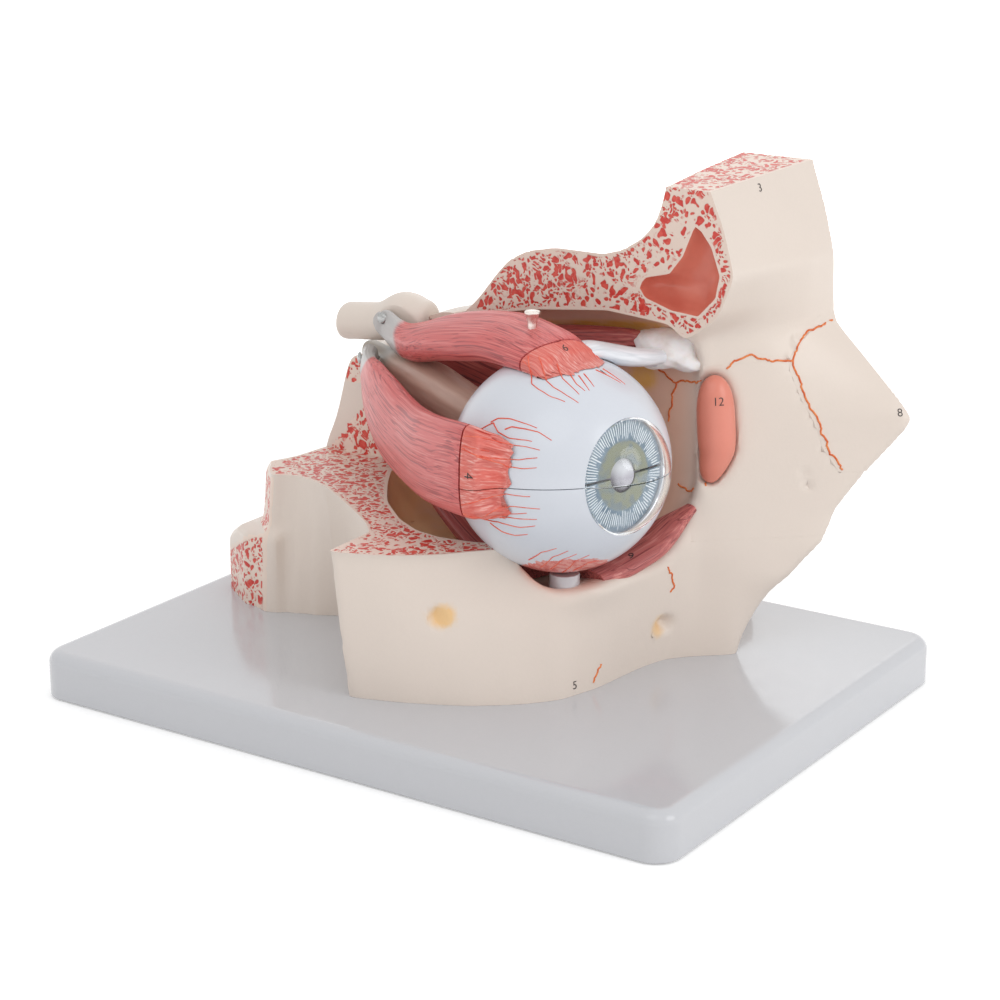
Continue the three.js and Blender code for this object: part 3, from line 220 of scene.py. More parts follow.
# %% Muscle fibre group
def make_fibre_group():
    """Place is the muscle's own straightened place in metres: across, through and along."""
    inputs = [("Place", "NodeSocketVector", None), ("Flesh", "NodeSocketColor", (1, 1, 1, 1)),
              ("Groove", "NodeSocketColor", (0, 0, 0, 1)), ("Light", "NodeSocketColor", (1, 1, 1, 1)),
              ("Fineness", "NodeSocketFloat", 1.0)]
    outputs = [("Colour", "NodeSocketColor"), ("Height", "NodeSocketFloat")]
    tree, given, made = new_group("muscle fibre", inputs, outputs)
    sway = noise(tree, given["Place"], 45.0, 1.0)
    stretch = vector_calc(tree, "MULTIPLY", given["Place"], (1, 1, 0.011))
    bend = vector_calc(tree, "SCALE", sway, scale=0.0012)
    lines = vector_calc(tree, "ADD", stretch, bend)
    fine_scale = calc(tree, "MULTIPLY", given["Fineness"], 1500.0)
    broad_scale = calc(tree, "MULTIPLY", given["Fineness"], 620.0)
    fine = noise(tree, lines, fine_scale, 2.0, 0.6)
    broad = noise(tree, lines, broad_scale, 1.0, 0.5)
    long_way = vector_calc(tree, "MULTIPLY", given["Place"], (1, 1, 0.2))
    patches = noise(tree, long_way, 120.0, 1.0)
    groove = fade(tree, fine, 0.52, 0.62)
    groove_share = calc(tree, "MULTIPLY", groove, fade(tree, broad, 0.38, 0.58, 0.25, 0.8))
    seam_noise = noise(tree, lines, calc(tree, "MULTIPLY", given["Fineness"], 210.0), 1.0)
    seam = fade(tree, calc(tree, "ABSOLUTE", calc(tree, "SUBTRACT", seam_noise, 0.5)), 0.012, 0.004)
    seam = calc(tree, "MULTIPLY", seam, fade(tree, patches, 0.38, 0.6, 0.1, 0.8))
    groove_share = calc(tree, "MAXIMUM", groove_share, seam)
    light_share = calc(tree, "MULTIPLY", fade(tree, fine, 0.47, 0.36),
                       fade(tree, patches, 0.3, 0.6, 0.25, 0.75))
    lit = mix_colour(tree, light_share, given["Flesh"], given["Light"])
    grooved = mix_colour(tree, groove_share, lit, given["Groove"])
    tree.links.new(grooved, made["Colour"])
    height = calc(tree, "SUBTRACT", calc(tree, "MULTIPLY", broad, 0.5), groove)
    tree.links.new(height, made["Height"])
    return tree


fibre_group = make_fibre_group()
print("node groups", [group.name for group in bpy.data.node_groups])

# %% [markdown]
# The bones are painted resin: smooth, satin and pinkish beige. Inside the orbit the paint is warmer
# and darker, with brown patches and ochre on the floor. The warmer, darker paint and the brown patches
# are partly airbrushed tone and partly painted shade of the hollow. Where the skull is cut, the face
# shows spongy bone: red marks on a paler ground, which stop short of the edge. The mesh carries three
# masks: "inner" for the orbit's paint and painted shade, "ochre" for its stains and "depth" for the
# distance from the edge of a cut face.

# %% Bone finishes
BONE = colour(226, 213, 202)
BONE_WARM_AND_SHADE = colour(255, 186, 148)
BONE_OCHRE = colour(240, 188, 100)
BONE_SHADE_BROWN = colour(204, 142, 112)


def bone_colour(tree, seed=0.0):
    inner = attribute(tree, "inner")
    ochre = attribute(tree, "ochre")
    place = object_place(tree)
    cloud = noise(tree, place, 60.0, 3.0)
    # Painted shade: in the orbit's hollow (mask inner) the bone is painted warmer and darker, partly
    # airbrushed tone and partly shade of the hollow.
    warm_and_shaded = mix_colour(tree, inner, BONE, BONE_WARM_AND_SHADE)
    stain = calc(tree, "MULTIPLY", ochre, fade(tree, cloud, 0.3, 0.55, 0.45, 1.0))
    stained = mix_colour(tree, stain, warm_and_shaded, BONE_OCHRE)
    # Painted shade: brown patches darken the orbit's hollow further.
    painted_shade_share = calc(tree, "MULTIPLY", inner, fade(tree, cloud, 0.5, 0.75, 0.0, 0.35))
    shaded = mix_colour(tree, painted_shade_share, stained, BONE_SHADE_BROWN)
    return use_group(tree, cast_group, {"Colour": shaded, "Drift": 0.07, "Size": 22.0, "Seed": seed})


bone_paint, tree, shader = new_material("bone paint", Roughness=0.38, Coat_Weight=0.12, Coat_Roughness=0.25)
painted = bone_colour(tree)
tree.links.new(painted["Colour"], shader["Base Color"])
set_bump(tree, shader, painted["Height"], 0.35, 0.0012)

spongy_bone, tree, shader = new_material("spongy bone", Roughness=0.45, Coat_Weight=0.08)
place = object_place(tree)
depth = attribute(tree, "depth")
ground = use_group(tree, cast_group, {"Colour": colour(234, 214, 200), "Drift": 0.08, "Size": 60.0})
warp = add_node(tree, "ShaderNodeTexNoise", {"Vector": place, "Scale": 260.0, "Detail": 0.6}).outputs[1]
shift = vector_calc(tree, "SUBTRACT", warp, (0.5, 0.5, 0.5))
shift = vector_calc(tree, "SCALE", shift, scale=0.0052)
warped = vector_calc(tree, "ADD", place, shift)


def blots(tree, place, scale, size):
    """Rounded marks of uneven size: 1 inside a mark, 0 between marks."""
    cells = add_node(tree, "ShaderNodeTexVoronoi",
                     {"Vector": place, "Scale": scale, "Randomness": 0.95}).outputs
    luck = add_node(tree, "ShaderNodeSeparateColor", {0: cells["Color"]}).outputs[0]
    reach = fade(tree, luck, 0.0, 0.6, size * 0.3, size)
    return fade(tree, calc(tree, "SUBTRACT", cells["Distance"], reach), 0.05, -0.05)


large = blots(tree, warped, 400.0, 0.5)
little = blots(tree, warped, 700.0, 0.44)
crowd = fade(tree, noise(tree, place, 90.0, 1.0), 0.36, 0.5)
marks = calc(tree, "MAXIMUM", large, calc(tree, "MULTIPLY", little, crowd))
border = calc(tree, "ADD", depth, calc(tree, "MULTIPLY", noise(tree, place, 240.0), 1.6))
inside_share = calc(tree, "MULTIPLY", marks, fade(tree, border, 1.5, 2.1))
reds = mix_colour(tree, fade(tree, noise(tree, place, 500.0), 0.4, 0.62), colour(204, 54, 46),
                  colour(218, 84, 70))
both = mix_colour(tree, inside_share, ground["Colour"], reds)
tree.links.new(both, shader["Base Color"])
pits = calc(tree, "SUBTRACT", calc(tree, "MULTIPLY", ground["Height"], 0.2), inside_share)
set_bump(tree, shader, pits, 0.5, 0.0006)

sinus_lining, tree, shader = new_material("sinus lining", Roughness=0.4, Coat_Weight=0.2)
place = object_place(tree)
cloud = noise(tree, place, 55.0, 3.0)
tones = mix_colour(tree, fade(tree, cloud, 0.35, 0.7), colour(230, 142, 122), colour(206, 108, 90))
lining = use_group(tree, cast_group, {"Colour": tones, "Drift": 0.12, "Size": 70.0, "Seed": 3.0})
tree.links.new(lining["Colour"], shader["Base Color"])
set_bump(tree, shader, lining["Height"], 0.3, 0.001)

# %% [markdown]
# The skull is one smooth body that is cut along flat planes. It is written as a field: a function
# of place that is negative inside the bone, so hollows are carved by taking the larger of two
# fields. The same curves as in the CAD model say where the face, the roof and the orbit lie. Only the
# tear sac is shaped further here: its top is blunt and its lower tip slants.

# %% Curves of the skull
GAP = 0.3
BASE_TOP = 17.4
SIDE_CUT_Z = 69
ROOF_CUT_Y = 28
MIDLINE_Y = 84
FOREHEAD_TOP = 184.3
FOREHEAD_TOP_RISE = 4
FRONT_CURVES = [
    (17, [(-80, -40), (-72, -13), (-66, 7), (-56, 28), (-45, 42), (-34, 51), (-18, 55.5), (8, 58),
          (20, 61), (28, 68), (38, 80), (46, 79), (60, 64), (84, 52)]),
    (45, [(-80, -38), (-72, -13), (-66, 4), (-56, 20), (-45, 35), (-34, 48), (-18, 57), (8, 61),
          (20, 62.5), (30, 68), (46, 88), (84, 122)]),
    (57, [(-80, -38), (-72, -14), (-66, 2), (-56, 15), (-45, 28), (-34, 47), (-20, 60), (8, 62), (20, 63),
          (30, 68), (56, 98), (84, 124)]),
    (69, [(-80, -40), (-72, -16), (-66, 0), (-56, 14), (-47, 21.4), (-36, 31), (-20, 46), (8, 60),
          (30, 65), (40, 76), (64, 104), (84, 125)]),
    (101, [(30, 64), (40, 68), (55, 86), (70, 105), (84, 124)]),
    (118, [(30, 62), (40, 66), (55, 82), (70, 95), (84, 106)]),
    (132, [(28, 62), (40, 67), (55, 78), (70, 86), (84, 91)]),
    (141, [(28, 74), (40, 76), (55, 81), (70, 87), (84, 90)]),
    (156, [(28, 80), (40, 82), (55, 85), (70, 88), (84, 89.5)]),
    (172, [(28, 75.5), (84, 85.5)]),
    (189, [(28, 68), (84, 79.5)]),
]
ROOF_OUTLINE = [
    (-96, 71), (-90.5, 79), (-87.5, 88), (-85.5, 97), (-83, 106), (-76, 108), (-60, 113), (-51, 124.5),
    (-44, 128.3), (-36, 130.2), (-29, 131.4), (-24, 136), (-17, 145), (-11, 151.6), (-3, 155.8),
    (8, 158.2), (28, 158.2), (36, 160.6), (44, 165.5), (49, 171.2), (52, 178), (53.5, 184), (55, 200),
]
ROOF_OUTLINE_MIDLINE = [
    (-104, 104), (-86, 108.5), (-72, 113), (-64, 116), (-58, 119), (-51, 122.5), (-40, 127), (-20, 131),
    (30, 134), (44, 142), (49, 156), (51, 175), (52, 200),
]
PLAN = [
    (-16, -110), (160, -110), (160, 124), (-104, 124), (-100, 60), (-95, 30), (-97, 12),
    (-102, 0), (-88.5, -13.6), (-84.5, -10.8), (-79, -9.3), (-73, -9.8), (-63.5, -13.8), (-53, -20.3),
    (-40.5, -29), (-31.5, -35.5), (-24.5, -41), (-18, -48),
]
LEDGE_PLAN = [(-122, 3), (-116, -6), (-100, -17), (-84, -18), (-84, 124), (-125, 124)]
LEDGE_TOP = [(-124, 32), (-116, 40), (-108, 45), (-84, 47)]
ORBIT_PLAN = [
    (-78, 37), (-75, 30), (-55, 8), (-34, -16.5), (-18, -30.5), (-6, -37.4), (5, -39.5), (18, -37.5),
    (26, -34.2), (37, -35), (60, -42), (160, -60), (160, 30), (66, 31), (60, 40), (20, 44), (-40, 42),
    (-70, 40),
]
ORBIT_FLOOR = [
    (-80, 84), (-70, 76), (-55, 66), (-30, 57), (0, 52), (25, 50.5), (40, 52.5), (50, 55), (57, 56.5),
    (64, 57), (74, 52), (160, 20),
]
ORBIT_ROOF = [(-80, 112), (-60, 121), (-30, 129), (0, 135), (30, 138.5), (55, 137), (63, 134), (160, 134)]
NOSE_EDGE = [(17, 42.5), (30, 48), (40, 51.5), (50, 57), (58, 62.5), (69, 66.5), (76, 71), (88, 79),
             (101, 87)]
NOSE_LOW = 30
NOSE_HIGH = 124
NOSE_REAR = -60
NOSE_WALL_Y = 59
NOSE_BONE_THICK = 9
SINUS_OUTLINE = [(43, 148.5), (45.5, 145), (56, 141.8), (66.5, 141), (73, 148), (74.5, 156), (71, 165.5),
                 (67, 170.5), (64.5, 172), (60, 161), (55, 154.5), (45.5, 152)]
SINUS_DEPTH = 11
SAC_PLACE = (68.5, 39.5, 98.8)
SAC_RADII = (6.8, 6, 19.2)
SAC_TURN = 42
SAC_LEAN = -4
SAC_TIP_SHIFT = 2.6
NASAL_OUTLINE = [(66, 82), (63, 91), (62, 100), (60.5, 109), (59.7, 118), (61, 122.5), (66.5, 127.5),
                 (73, 131), (82, 132.5), (120, 132.5), (120, 82)]
NASAL_REAR_X = 71
FRONTAL_SEAM_Z = 121.4
TEMPLE_FRONT_X = -32
MEDIAL_SEAM_Z = 60
CHEEK_END_LEAN = 6
BLOCK_LEAN = [(-92, 6), (-78, 6), (-70, 1.5), (-62, -6.5), (-50, -8), (-30, 0)]


# %% Field helpers
def soft_max(first, second, rounding):
    overlap = np.maximum(rounding - np.abs(first - second), 0) / rounding
    return np.maximum(first, second) + overlap * overlap * rounding / 4


def soft_min(first, second, rounding):
    return -soft_max(-first, -second, rounding)


def ease(value):
    share = np.clip(value, 0, 1)
    return share * share * (3 - 2 * share)


def along(points, place):
    return np.interp(place, [p[0] for p in points], [p[1] for p in points])


def outline_distance(outline, first, second):
    """Distance to a closed outline, negative inside it."""
    nearest = np.full(np.broadcast(first, second).shape, 1e9)
    inside = np.zeros(nearest.shape, bool)
    for i, (bx, by) in enumerate(outline):
        ax, ay = outline[i - 1]
        ex = bx - ax
        ey = by - ay
        share = np.clip(((first - ax) * ex + (second - ay) * ey) / (ex * ex + ey * ey), 0, 1)
        nearest = np.minimum(nearest, np.hypot(first - ax - ex * share, second - ay - ey * share))
        if ay != by:
            crossing = (ay > second) != (by > second)
            inside ^= crossing & (first < ex * (second - ay) / ey + ax)
    return np.where(inside, -nearest, nearest)


def ball_distance(x, y, z, centre, radii):
    share = np.sqrt(((x - centre[0]) / radii[0]) ** 2 + ((y - centre[1]) / radii[1]) ** 2
                    + ((z - centre[2]) / radii[2]) ** 2)
    return (share - 1) * min(radii)


def blurred(table, sigma):
    """A table smoothed along each of its axes, so that straight pieces become curves."""
    reach = int(3 * sigma)
    weights = np.exp(-0.5 * (np.arange(-reach, reach + 1) / sigma) ** 2)
    weights /= weights.sum()
    for axis in range(table.ndim):
        padding = [(reach, reach) if a == axis else (0, 0) for a in range(table.ndim)]
        padded = np.pad(table, padding, mode="edge")
        table = np.apply_along_axis(np.convolve, axis, padded, weights, mode="valid")
    return table


def look_up(table, low, step, first, second):
    """The table's value between its nodes."""
    u = np.clip((first - low[0]) / step, 0, table.shape[0] - 1.001)
    v = np.clip((second - low[1]) / step, 0, table.shape[1] - 1.001)
    i = u.astype(int)
    j = v.astype(int)
    u = u - i
    v = v - j
    near = table[i, j] * (1 - v) + table[i, j + 1] * v
    far = table[i + 1, j] * (1 - v) + table[i + 1, j + 1] * v
    return near * (1 - u) + far * u


# %% [markdown]
# The curves are drawn once into tables of whole millimetres and smoothed there. The skull's field
# then only looks them up, which is quick enough for millions of places.

# %% Tables of the skull's curves
TABLE_LOW = -130.0
ticks = np.arange(TABLE_LOW, 216.0, 1.0)
first_axis, second_axis = np.meshgrid(ticks, ticks, indexing="ij")


def front_table():
    rows = np.array([along(curve, ticks) for _, curve in FRONT_CURVES])
    heights = [height for height, _ in FRONT_CURVES]
    table = np.array([np.interp(ticks, heights, rows[:, n]) for n in range(len(ticks))])
    return blurred(table, 2.2)


FRONT_TABLE = front_table()
PLAN_TABLE = blurred(outline_distance(PLAN, first_axis, second_axis), 1.0)
LEDGE_TABLE = blurred(outline_distance(LEDGE_PLAN, first_axis, second_axis), 0.8)
ORBIT_TABLE = blurred(outline_distance(ORBIT_PLAN, first_axis, second_axis), 1.5)
share_of_middle = ease((second_axis - ROOF_CUT_Y) / 36)
roof_side = along(ROOF_OUTLINE, first_axis)
roof_middle = along(ROOF_OUTLINE_MIDLINE, first_axis)
ROOF_TABLE = blurred(roof_side + (roof_middle - roof_side) * share_of_middle, 1.6)
TABLE_AT = (TABLE_LOW, TABLE_LOW)
print("tables", FRONT_TABLE.shape)


# %% Field of the skull
def front_surface(y, z):
    return look_up(FRONT_TABLE, TABLE_AT, 1.0, y, z)


def orbit_distance(x, y, z):
    plan = look_up(ORBIT_TABLE, TABLE_AT, 1.0, x, y)
    sill = ease((y - 14) / 22) * 10
    height = np.maximum(along(ORBIT_FLOOR, x) + sill - z, z - along(ORBIT_ROOF, x))
    return soft_max(plan, height, 16)


def nose_distance(x, y, z):
    height = np.maximum(NOSE_LOW - z, z - NOSE_HIGH)
    chamber = soft_max(soft_max(NOSE_WALL_Y - y, height, 18), NOSE_REAR - x, 18)
    behind_front = x - (front_surface(y, z) - NOSE_BONE_THICK)
    opening = np.maximum(soft_max(along(NOSE_EDGE, z) - y, 62 - x, 12), z - 101)
    return np.minimum(soft_max(chamber, behind_front, 6), opening)


def sac_distance(x, y, z, grow):
    lean = math.radians(SAC_LEAN)
    turn = math.radians(SAC_TURN)
    dx, dy, dz = x - SAC_PLACE[0], y - SAC_PLACE[1], z - SAC_PLACE[2]
    upright = (dx * math.cos(lean) - dz * math.sin(lean), dy, dx * math.sin(lean) + dz * math.cos(lean))
    u = upright[0] * math.cos(turn) + upright[1] * math.sin(turn)
    v = -upright[0] * math.sin(turn) + upright[1] * math.cos(turn)
    length = upright[2]
    u = u + SAC_TIP_SHIFT * ease((-length - 7) / 12)
    radii = [radius + grow for radius in SAC_RADII]
    blunt = np.abs(length / radii[2]) ** np.where(length > 0, 3.4, 2.3)
    return (np.sqrt((u / radii[0]) ** 2 + (v / radii[1]) ** 2 + blunt) - 1) * radii[1]


def sinus_distance(x, y, z):
    side = outline_distance(SINUS_OUTLINE, x, z)
    return soft_max(side, y - ROOF_CUT_Y - SINUS_DEPTH, 12)


def dimples(x, y, z):
    """Small openings for nerves and vessels, as shallow hollows."""
    infraorbital = ball_distance(x, y, z, (63.5, 17.5, 31.5), (5.5, 4.2, 3.2))
    zygomatic = ball_distance(x, y, z, (18.2, -57.5, 47.6), (4.2, 2.2, 4.0))
    pores = [ball_distance(x, y, z, centre, (1.4, 1.4, 1.0)) for centre in
             ((94.3, 57.8, 82.5), (95.4, 58.3, 78.0))]
    return np.minimum(np.minimum(infraorbital, zygomatic), np.minimum(*pores))


def skull_distance(x, y, z):
    front = (x - front_surface(y, z)) * 0.8
    lean = along(BLOCK_LEAN, x) * np.clip((SIDE_CUT_Z - z) / 52, 0, 1)
    end = np.clip((x + 40) / 15, 0, 1) * np.clip((-44 - y) / 8, 0, 1)
    end = CHEEK_END_LEAN * end * np.clip((SIDE_CUT_Z - z) / 52, 0, 1)
    plan = look_up(PLAN_TABLE, TABLE_AT, 1.0, x - end, y + lean)
    step = soft_max(look_up(LEDGE_TABLE, TABLE_AT, 1.0, x, y), z - along(LEDGE_TOP, x), 4)
    solid = soft_max(front, soft_min(plan, step, 5), 5)
    solid = soft_max(solid, z - look_up(ROOF_TABLE, TABLE_AT, 1.0, x, y), 7)
    solid = soft_max(solid, -orbit_distance(x, y, z), 5)
    solid = soft_max(solid, -nose_distance(x, y, z), 6)
    solid = soft_max(solid, -sac_distance(x, y, z, 0.6), 2.5)
    solid = soft_max(solid, -sinus_distance(x, y, z), 1.0)
    return soft_max(solid, -dimples(x, y, z), 1.5)


# %% [markdown]
# A field becomes a mesh by dual contouring. Space is split into cells, and each cell that the
# surface passes gets one vertex. The vertex is put where the flat pieces of surface through the
# cell meet, so a cut keeps its crisp edge, which a plain voxel mesh would round off.


# %% Dual contouring
def crossing_shares(tree_of, starts, steps):
    """Where along each grid edge the surface lies (0 to 1), and which term makes it."""
    best_gap = np.full(len(starts[0]), 1e9)
    share = np.full(len(best_gap), 0.5)
    for a, b in zip(starts, steps):
        with np.errstate(divide="ignore", invalid="ignore"):
            t = np.where(a * b < 0, a / (a - b), np.nan)
        there = tree_of([p + (q - p) * t for p, q in zip(starts, steps)])
        gap = np.where(np.isnan(t), 1e9, np.abs(there))
        closer = gap < best_gap
        best_gap = np.where(closer, gap, best_gap)
        share = np.where(closer, t, share)
    values = np.array([np.abs(p + (q - p) * share) for p, q in zip(starts, steps)])
    return share, np.argmin(values, axis=0)


def untangled(inside):
    """Fills the corners where a face of a cell has its inside corners only across from each other."""
    for _ in range(20):
        count = 0
        for a, b in ((0, 1), (0, 2), (1, 2)):
            def part(i, j):
                cut = [slice(None)] * 3
                cut[a] = slice(1, None) if i else slice(None, -1)
                cut[b] = slice(1, None) if j else slice(None, -1)
                return tuple(cut)
            v00, v01, v10, v11 = (inside[part(i, j)] for i in (0, 1) for j in (0, 1))
            crossed = (v00 == v11) & (v01 == v10) & (v00 != v01)
            count += int(crossed.sum())
            fill = crossed & ~v00
            v00 |= fill
            v01 |= crossed & ~v01
        if not count:
            break
    return inside


def contour(terms, tree_of, axes):
    """terms: grids of values, or (normal, offset) for a plane. tree_of joins their values."""
    cell = axes[0][1] - axes[0][0]
    low = np.array([axis[0] for axis in axes])
    shape = tuple(len(axis) for axis in axes)
    x, y, z = np.meshgrid(*axes, indexing="ij", sparse=True)
    grids = []
    slopes = []
    for term in terms:
        if isinstance(term, tuple):
            normal, offset = term
            flat = normal[0] * x + normal[1] * y + normal[2] * z - offset
            grids.append(np.broadcast_to(flat, shape))
            slopes.append(np.array(normal, float))
        else:
            grids.append(term)
            slopes.append(np.gradient(term, cell))
    inside = untangled(tree_of(grids) < 0)
    open_sides = [int(np.take(inside, n, axis).sum()) for axis in range(3) for n in (0, -1)]
    if any(open_sides):
        print("the bone reaches the side of its grid", open_sides)
        inside[[0, -1]] = False
        inside[:, [0, -1]] = False
        inside[:, :, [0, -1]] = False
    cells = tuple(n - 1 for n in shape)
    cell_rows = []
    samples = []
    quads = []
    for axis in range(3):
        ahead = [slice(None)] * 3
        behind = [slice(None)] * 3
        ahead[axis] = slice(1, None)
        behind[axis] = slice(None, -1)
        crossed = inside[tuple(ahead)] != inside[tuple(behind)]
        start = np.argwhere(crossed)
        end = start.copy()
        end[:, axis] += 1
        at_start = [grid[tuple(start.T)].astype(float) for grid in grids]
        at_end = [grid[tuple(end.T)].astype(float) for grid in grids]
        share, label = crossing_shares(tree_of, at_start, at_end)
        place = start.astype(float)
        place[:, axis] += share
        normal = np.zeros((len(start), 3))
        for n, slope in enumerate(slopes):
            chosen = label == n
            if isinstance(slope, np.ndarray) and slope.ndim == 1:
                normal[chosen] = slope
            else:
                near = np.stack([part[tuple(start[chosen].T)] for part in slope], 1)
                far = np.stack([part[tuple(end[chosen].T)] for part in slope], 1)
                normal[chosen] = near + (far - near) * share[chosen, None]
        normal /= np.maximum(np.linalg.norm(normal, axis=1, keepdims=True), 1e-6)
        one = (axis + 1) % 3
        two = (axis + 2) % 3
        around = []
        for p, q in ((0, 0), (1, 0), (1, 1), (0, 1)):
            corner = start.copy()
            corner[:, one] -= p
            corner[:, two] -= q
            index = np.ravel_multi_index(tuple(corner.T), cells)
            around.append(index)
            cell_rows.append(index)
            samples.append(np.hstack([place, normal]))
        quad = np.stack(around, 1)
        outwards = inside[tuple(start.T)]
        quad[~outwards] = quad[~outwards][:, ::-1]
        quads.append(quad)
    used, row = np.unique(np.concatenate(cell_rows), return_inverse=True)
    samples = np.concatenate(samples)
    place, normal = samples[:, :3], samples[:, 3:]
    total = len(used)
    count = np.bincount(row, minlength=total).astype(float)
    mean = np.stack([np.bincount(row, place[:, n], total) for n in range(3)], 1) / count[:, None]
    offset = np.einsum("ij,ij->i", normal, place - mean[row])
    left = np.zeros((total, 3, 3))
    right = np.zeros((total, 3))
    for n in range(3):
        right[:, n] = np.bincount(row, normal[:, n] * offset, total)
        for m in range(3):
            left[:, n, m] = np.bincount(row, normal[:, n] * normal[:, m], total)
    left += np.eye(3) * 0.03
    shift = np.linalg.solve(left, right[:, :, None])[:, :, 0]
    corner = np.stack(np.unravel_index(used, cells), 1)
    vertex = np.clip(mean + shift, corner + 0.02, corner + 0.98)
    faces = np.searchsorted(used, np.concatenate(quads))
    return low + vertex * cell, faces


# %% Meshes with their masks
def piece_from(name, vertices, faces, finish, marks=None, sharp=38.0):
    """A mesh object from millimetres: faces is a list of index tables, marks holds masks per vertex."""
    mesh = bpy.data.meshes.new(name)
    tables = faces if isinstance(faces, list) else [faces]
    corners = np.concatenate([np.asarray(table).ravel() for table in tables]).astype(np.int32)
    sizes = np.concatenate([np.full(len(table), np.shape(table)[1]) for table in tables])
    starts = np.concatenate([[0], np.cumsum(sizes)[:-1]]).astype(np.int32)
    mesh.vertices.add(len(vertices))
    mesh.vertices.foreach_set("co", (np.asarray(vertices, np.float64) * 0.001).astype(np.float32).ravel())
    mesh.loops.add(len(corners))
    mesh.loops.foreach_set("vertex_index", corners)
    mesh.polygons.add(len(starts))
    mesh.polygons.foreach_set("loop_start", starts)
    for label, values in (marks or {}).items():
        values = np.asarray(values, np.float32)
        kind = "FLOAT" if values.ndim == 1 else "FLOAT_VECTOR"
        layer = mesh.attributes.new(label, kind, "POINT")
        layer.data.foreach_set("value" if values.ndim == 1 else "vector", values.ravel())
    mesh.update(calc_edges=True)
    mesh.validate()
    mesh.shade_smooth()
    mesh.set_sharp_from_angle(angle=math.radians(sharp))
    for material in (finish if isinstance(finish, (list, tuple)) else [finish]):
        mesh.materials.append(material)
    return in_scene(name, mesh)


def fit(piece, body, nodes=()):
    """The piece rides on a body and stands for its CAD nodes."""
    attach(piece, body)
    if nodes:
        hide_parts(*nodes)
    print(piece.name, "on", body, len(piece.data.polygons), "faces")
    return piece


# %% [markdown]
# The bones are cast in five pieces that meet along their seams. Each casting is the skull's field
# cut by planes. The orbit's paint and painted shade are stored on its vertices as masks, and the flat
# cut faces get the spongy finish, face by face, so that the border between the two is as sharp as on
# the real model.

# %% Bone castings
BONE_CELL = 1.5
TOP_SLOPE = FOREHEAD_TOP_RISE / (MIDLINE_Y - ROOF_CUT_Y)
TOP_LENGTH = math.hypot(1, TOP_SLOPE)
TOP_NORMAL = (0, -TOP_SLOPE / TOP_LENGTH, 1 / TOP_LENGTH)
TOP_OFFSET = TOP_NORMAL[1] * ROOF_CUT_Y + TOP_NORMAL[2] * FOREHEAD_TOP
BONE_BOTTOM = BASE_TOP + 0.04
REAR_BREAK_X = -89


def flat(x, y, z, offset):
    return ((x, y, z), offset)


def bone_axes(low, high):
    starts = [-130.3, -80.2, 10.1]
    axes = []
    for start, a, b in zip(starts, low, high):
        first = int((a - start) // BONE_CELL)
        last = int((b - start) // BONE_CELL) + 1
        axes.append(start + BONE_CELL * np.arange(first, last + 1))
    return axes


COMMON_PLANES = [flat(0, 0, -1, -BONE_BOTTOM), flat(0, 1, 0, MIDLINE_Y), (TOP_NORMAL, TOP_OFFSET),
                 flat(0, 0, 1, SIDE_CUT_Z), flat(0, -1, 0, -ROOF_CUT_Y)]


def common_shape(values):
    skull, bottom, midline, top, side_cut, roof_cut = values[:6]
    shape = np.maximum(np.maximum(skull, bottom), np.maximum(midline, top))
    return np.maximum(shape, np.minimum(side_cut, roof_cut))


def bone_marks(vertices):
    """Masks at the vertices: the orbit's warmer paint and painted shade, ochre stains and the depth inside
    a cut face.
    """
    x, y, z = vertices.T
    skull = skull_distance(x, y, z)
    hollow = orbit_distance(x, y, z)
    # inner: the orbit's hollow, whose paint is warmer and darker, partly airbrushed tone and partly painted
    # shade.
    inner = ease((2.5 - hollow) / 5) * ease((65 - x) / 15) * ease((x + 84) / 8)
    inner = inner * np.where(z > 60, 1, ease((z - 50) / 12))
    floor = ease((hollow * -1 + 3) / 6) * ease((92 - z) / 20) * ease((20 - x) / 30)
    spot = np.maximum(0.6 * ease((5 - np.hypot(y - 15.4, z - 31)) / 2.5) * (x > front_surface(y, z) - 6),
                      0.7 * ease((4.8 - np.hypot(x - 17.9, z - 47.6)) / 1.8) * (y < -40))
    wall_spot = ease((8 - np.hypot(x - 37, 1.2 * (z - 113))) / 4) * (y > 34) * (hollow < 3) * 0.9
    band = ease((2.6 - np.abs(z - 126.6 - 0.13 * x)) / 1.6) * ease((y - 33) / 4) * ease((x + 30) / 12)
    band = band * ease((50 - x) / 6)
    ochre = np.maximum(np.maximum(floor, spot), np.maximum(wall_spot, band))
    return {"inner": inner, "ochre": ochre, "depth": np.maximum(-skull, break_depth(x, y, z))}


def break_depth(x, y, z):
    """Depth inside the broken rear end, which lies on the outer surface of block and ledge."""
    block_y = -13.6 * (x + 102) / 13.5
    foot = 6 * np.clip((SIDE_CUT_Z - z) / 52, 0, 1)
    on_ledge = (x < -105) | (y < block_y - foot - 2)
    top = np.where(on_ledge, np.clip(34 + 0.57 * (x + 115), 30, 46), SIDE_CUT_Z - 1.5)
    return np.minimum(np.minimum(REAR_BREAK_X - x, top - z), MIDLINE_Y - 2 - y)


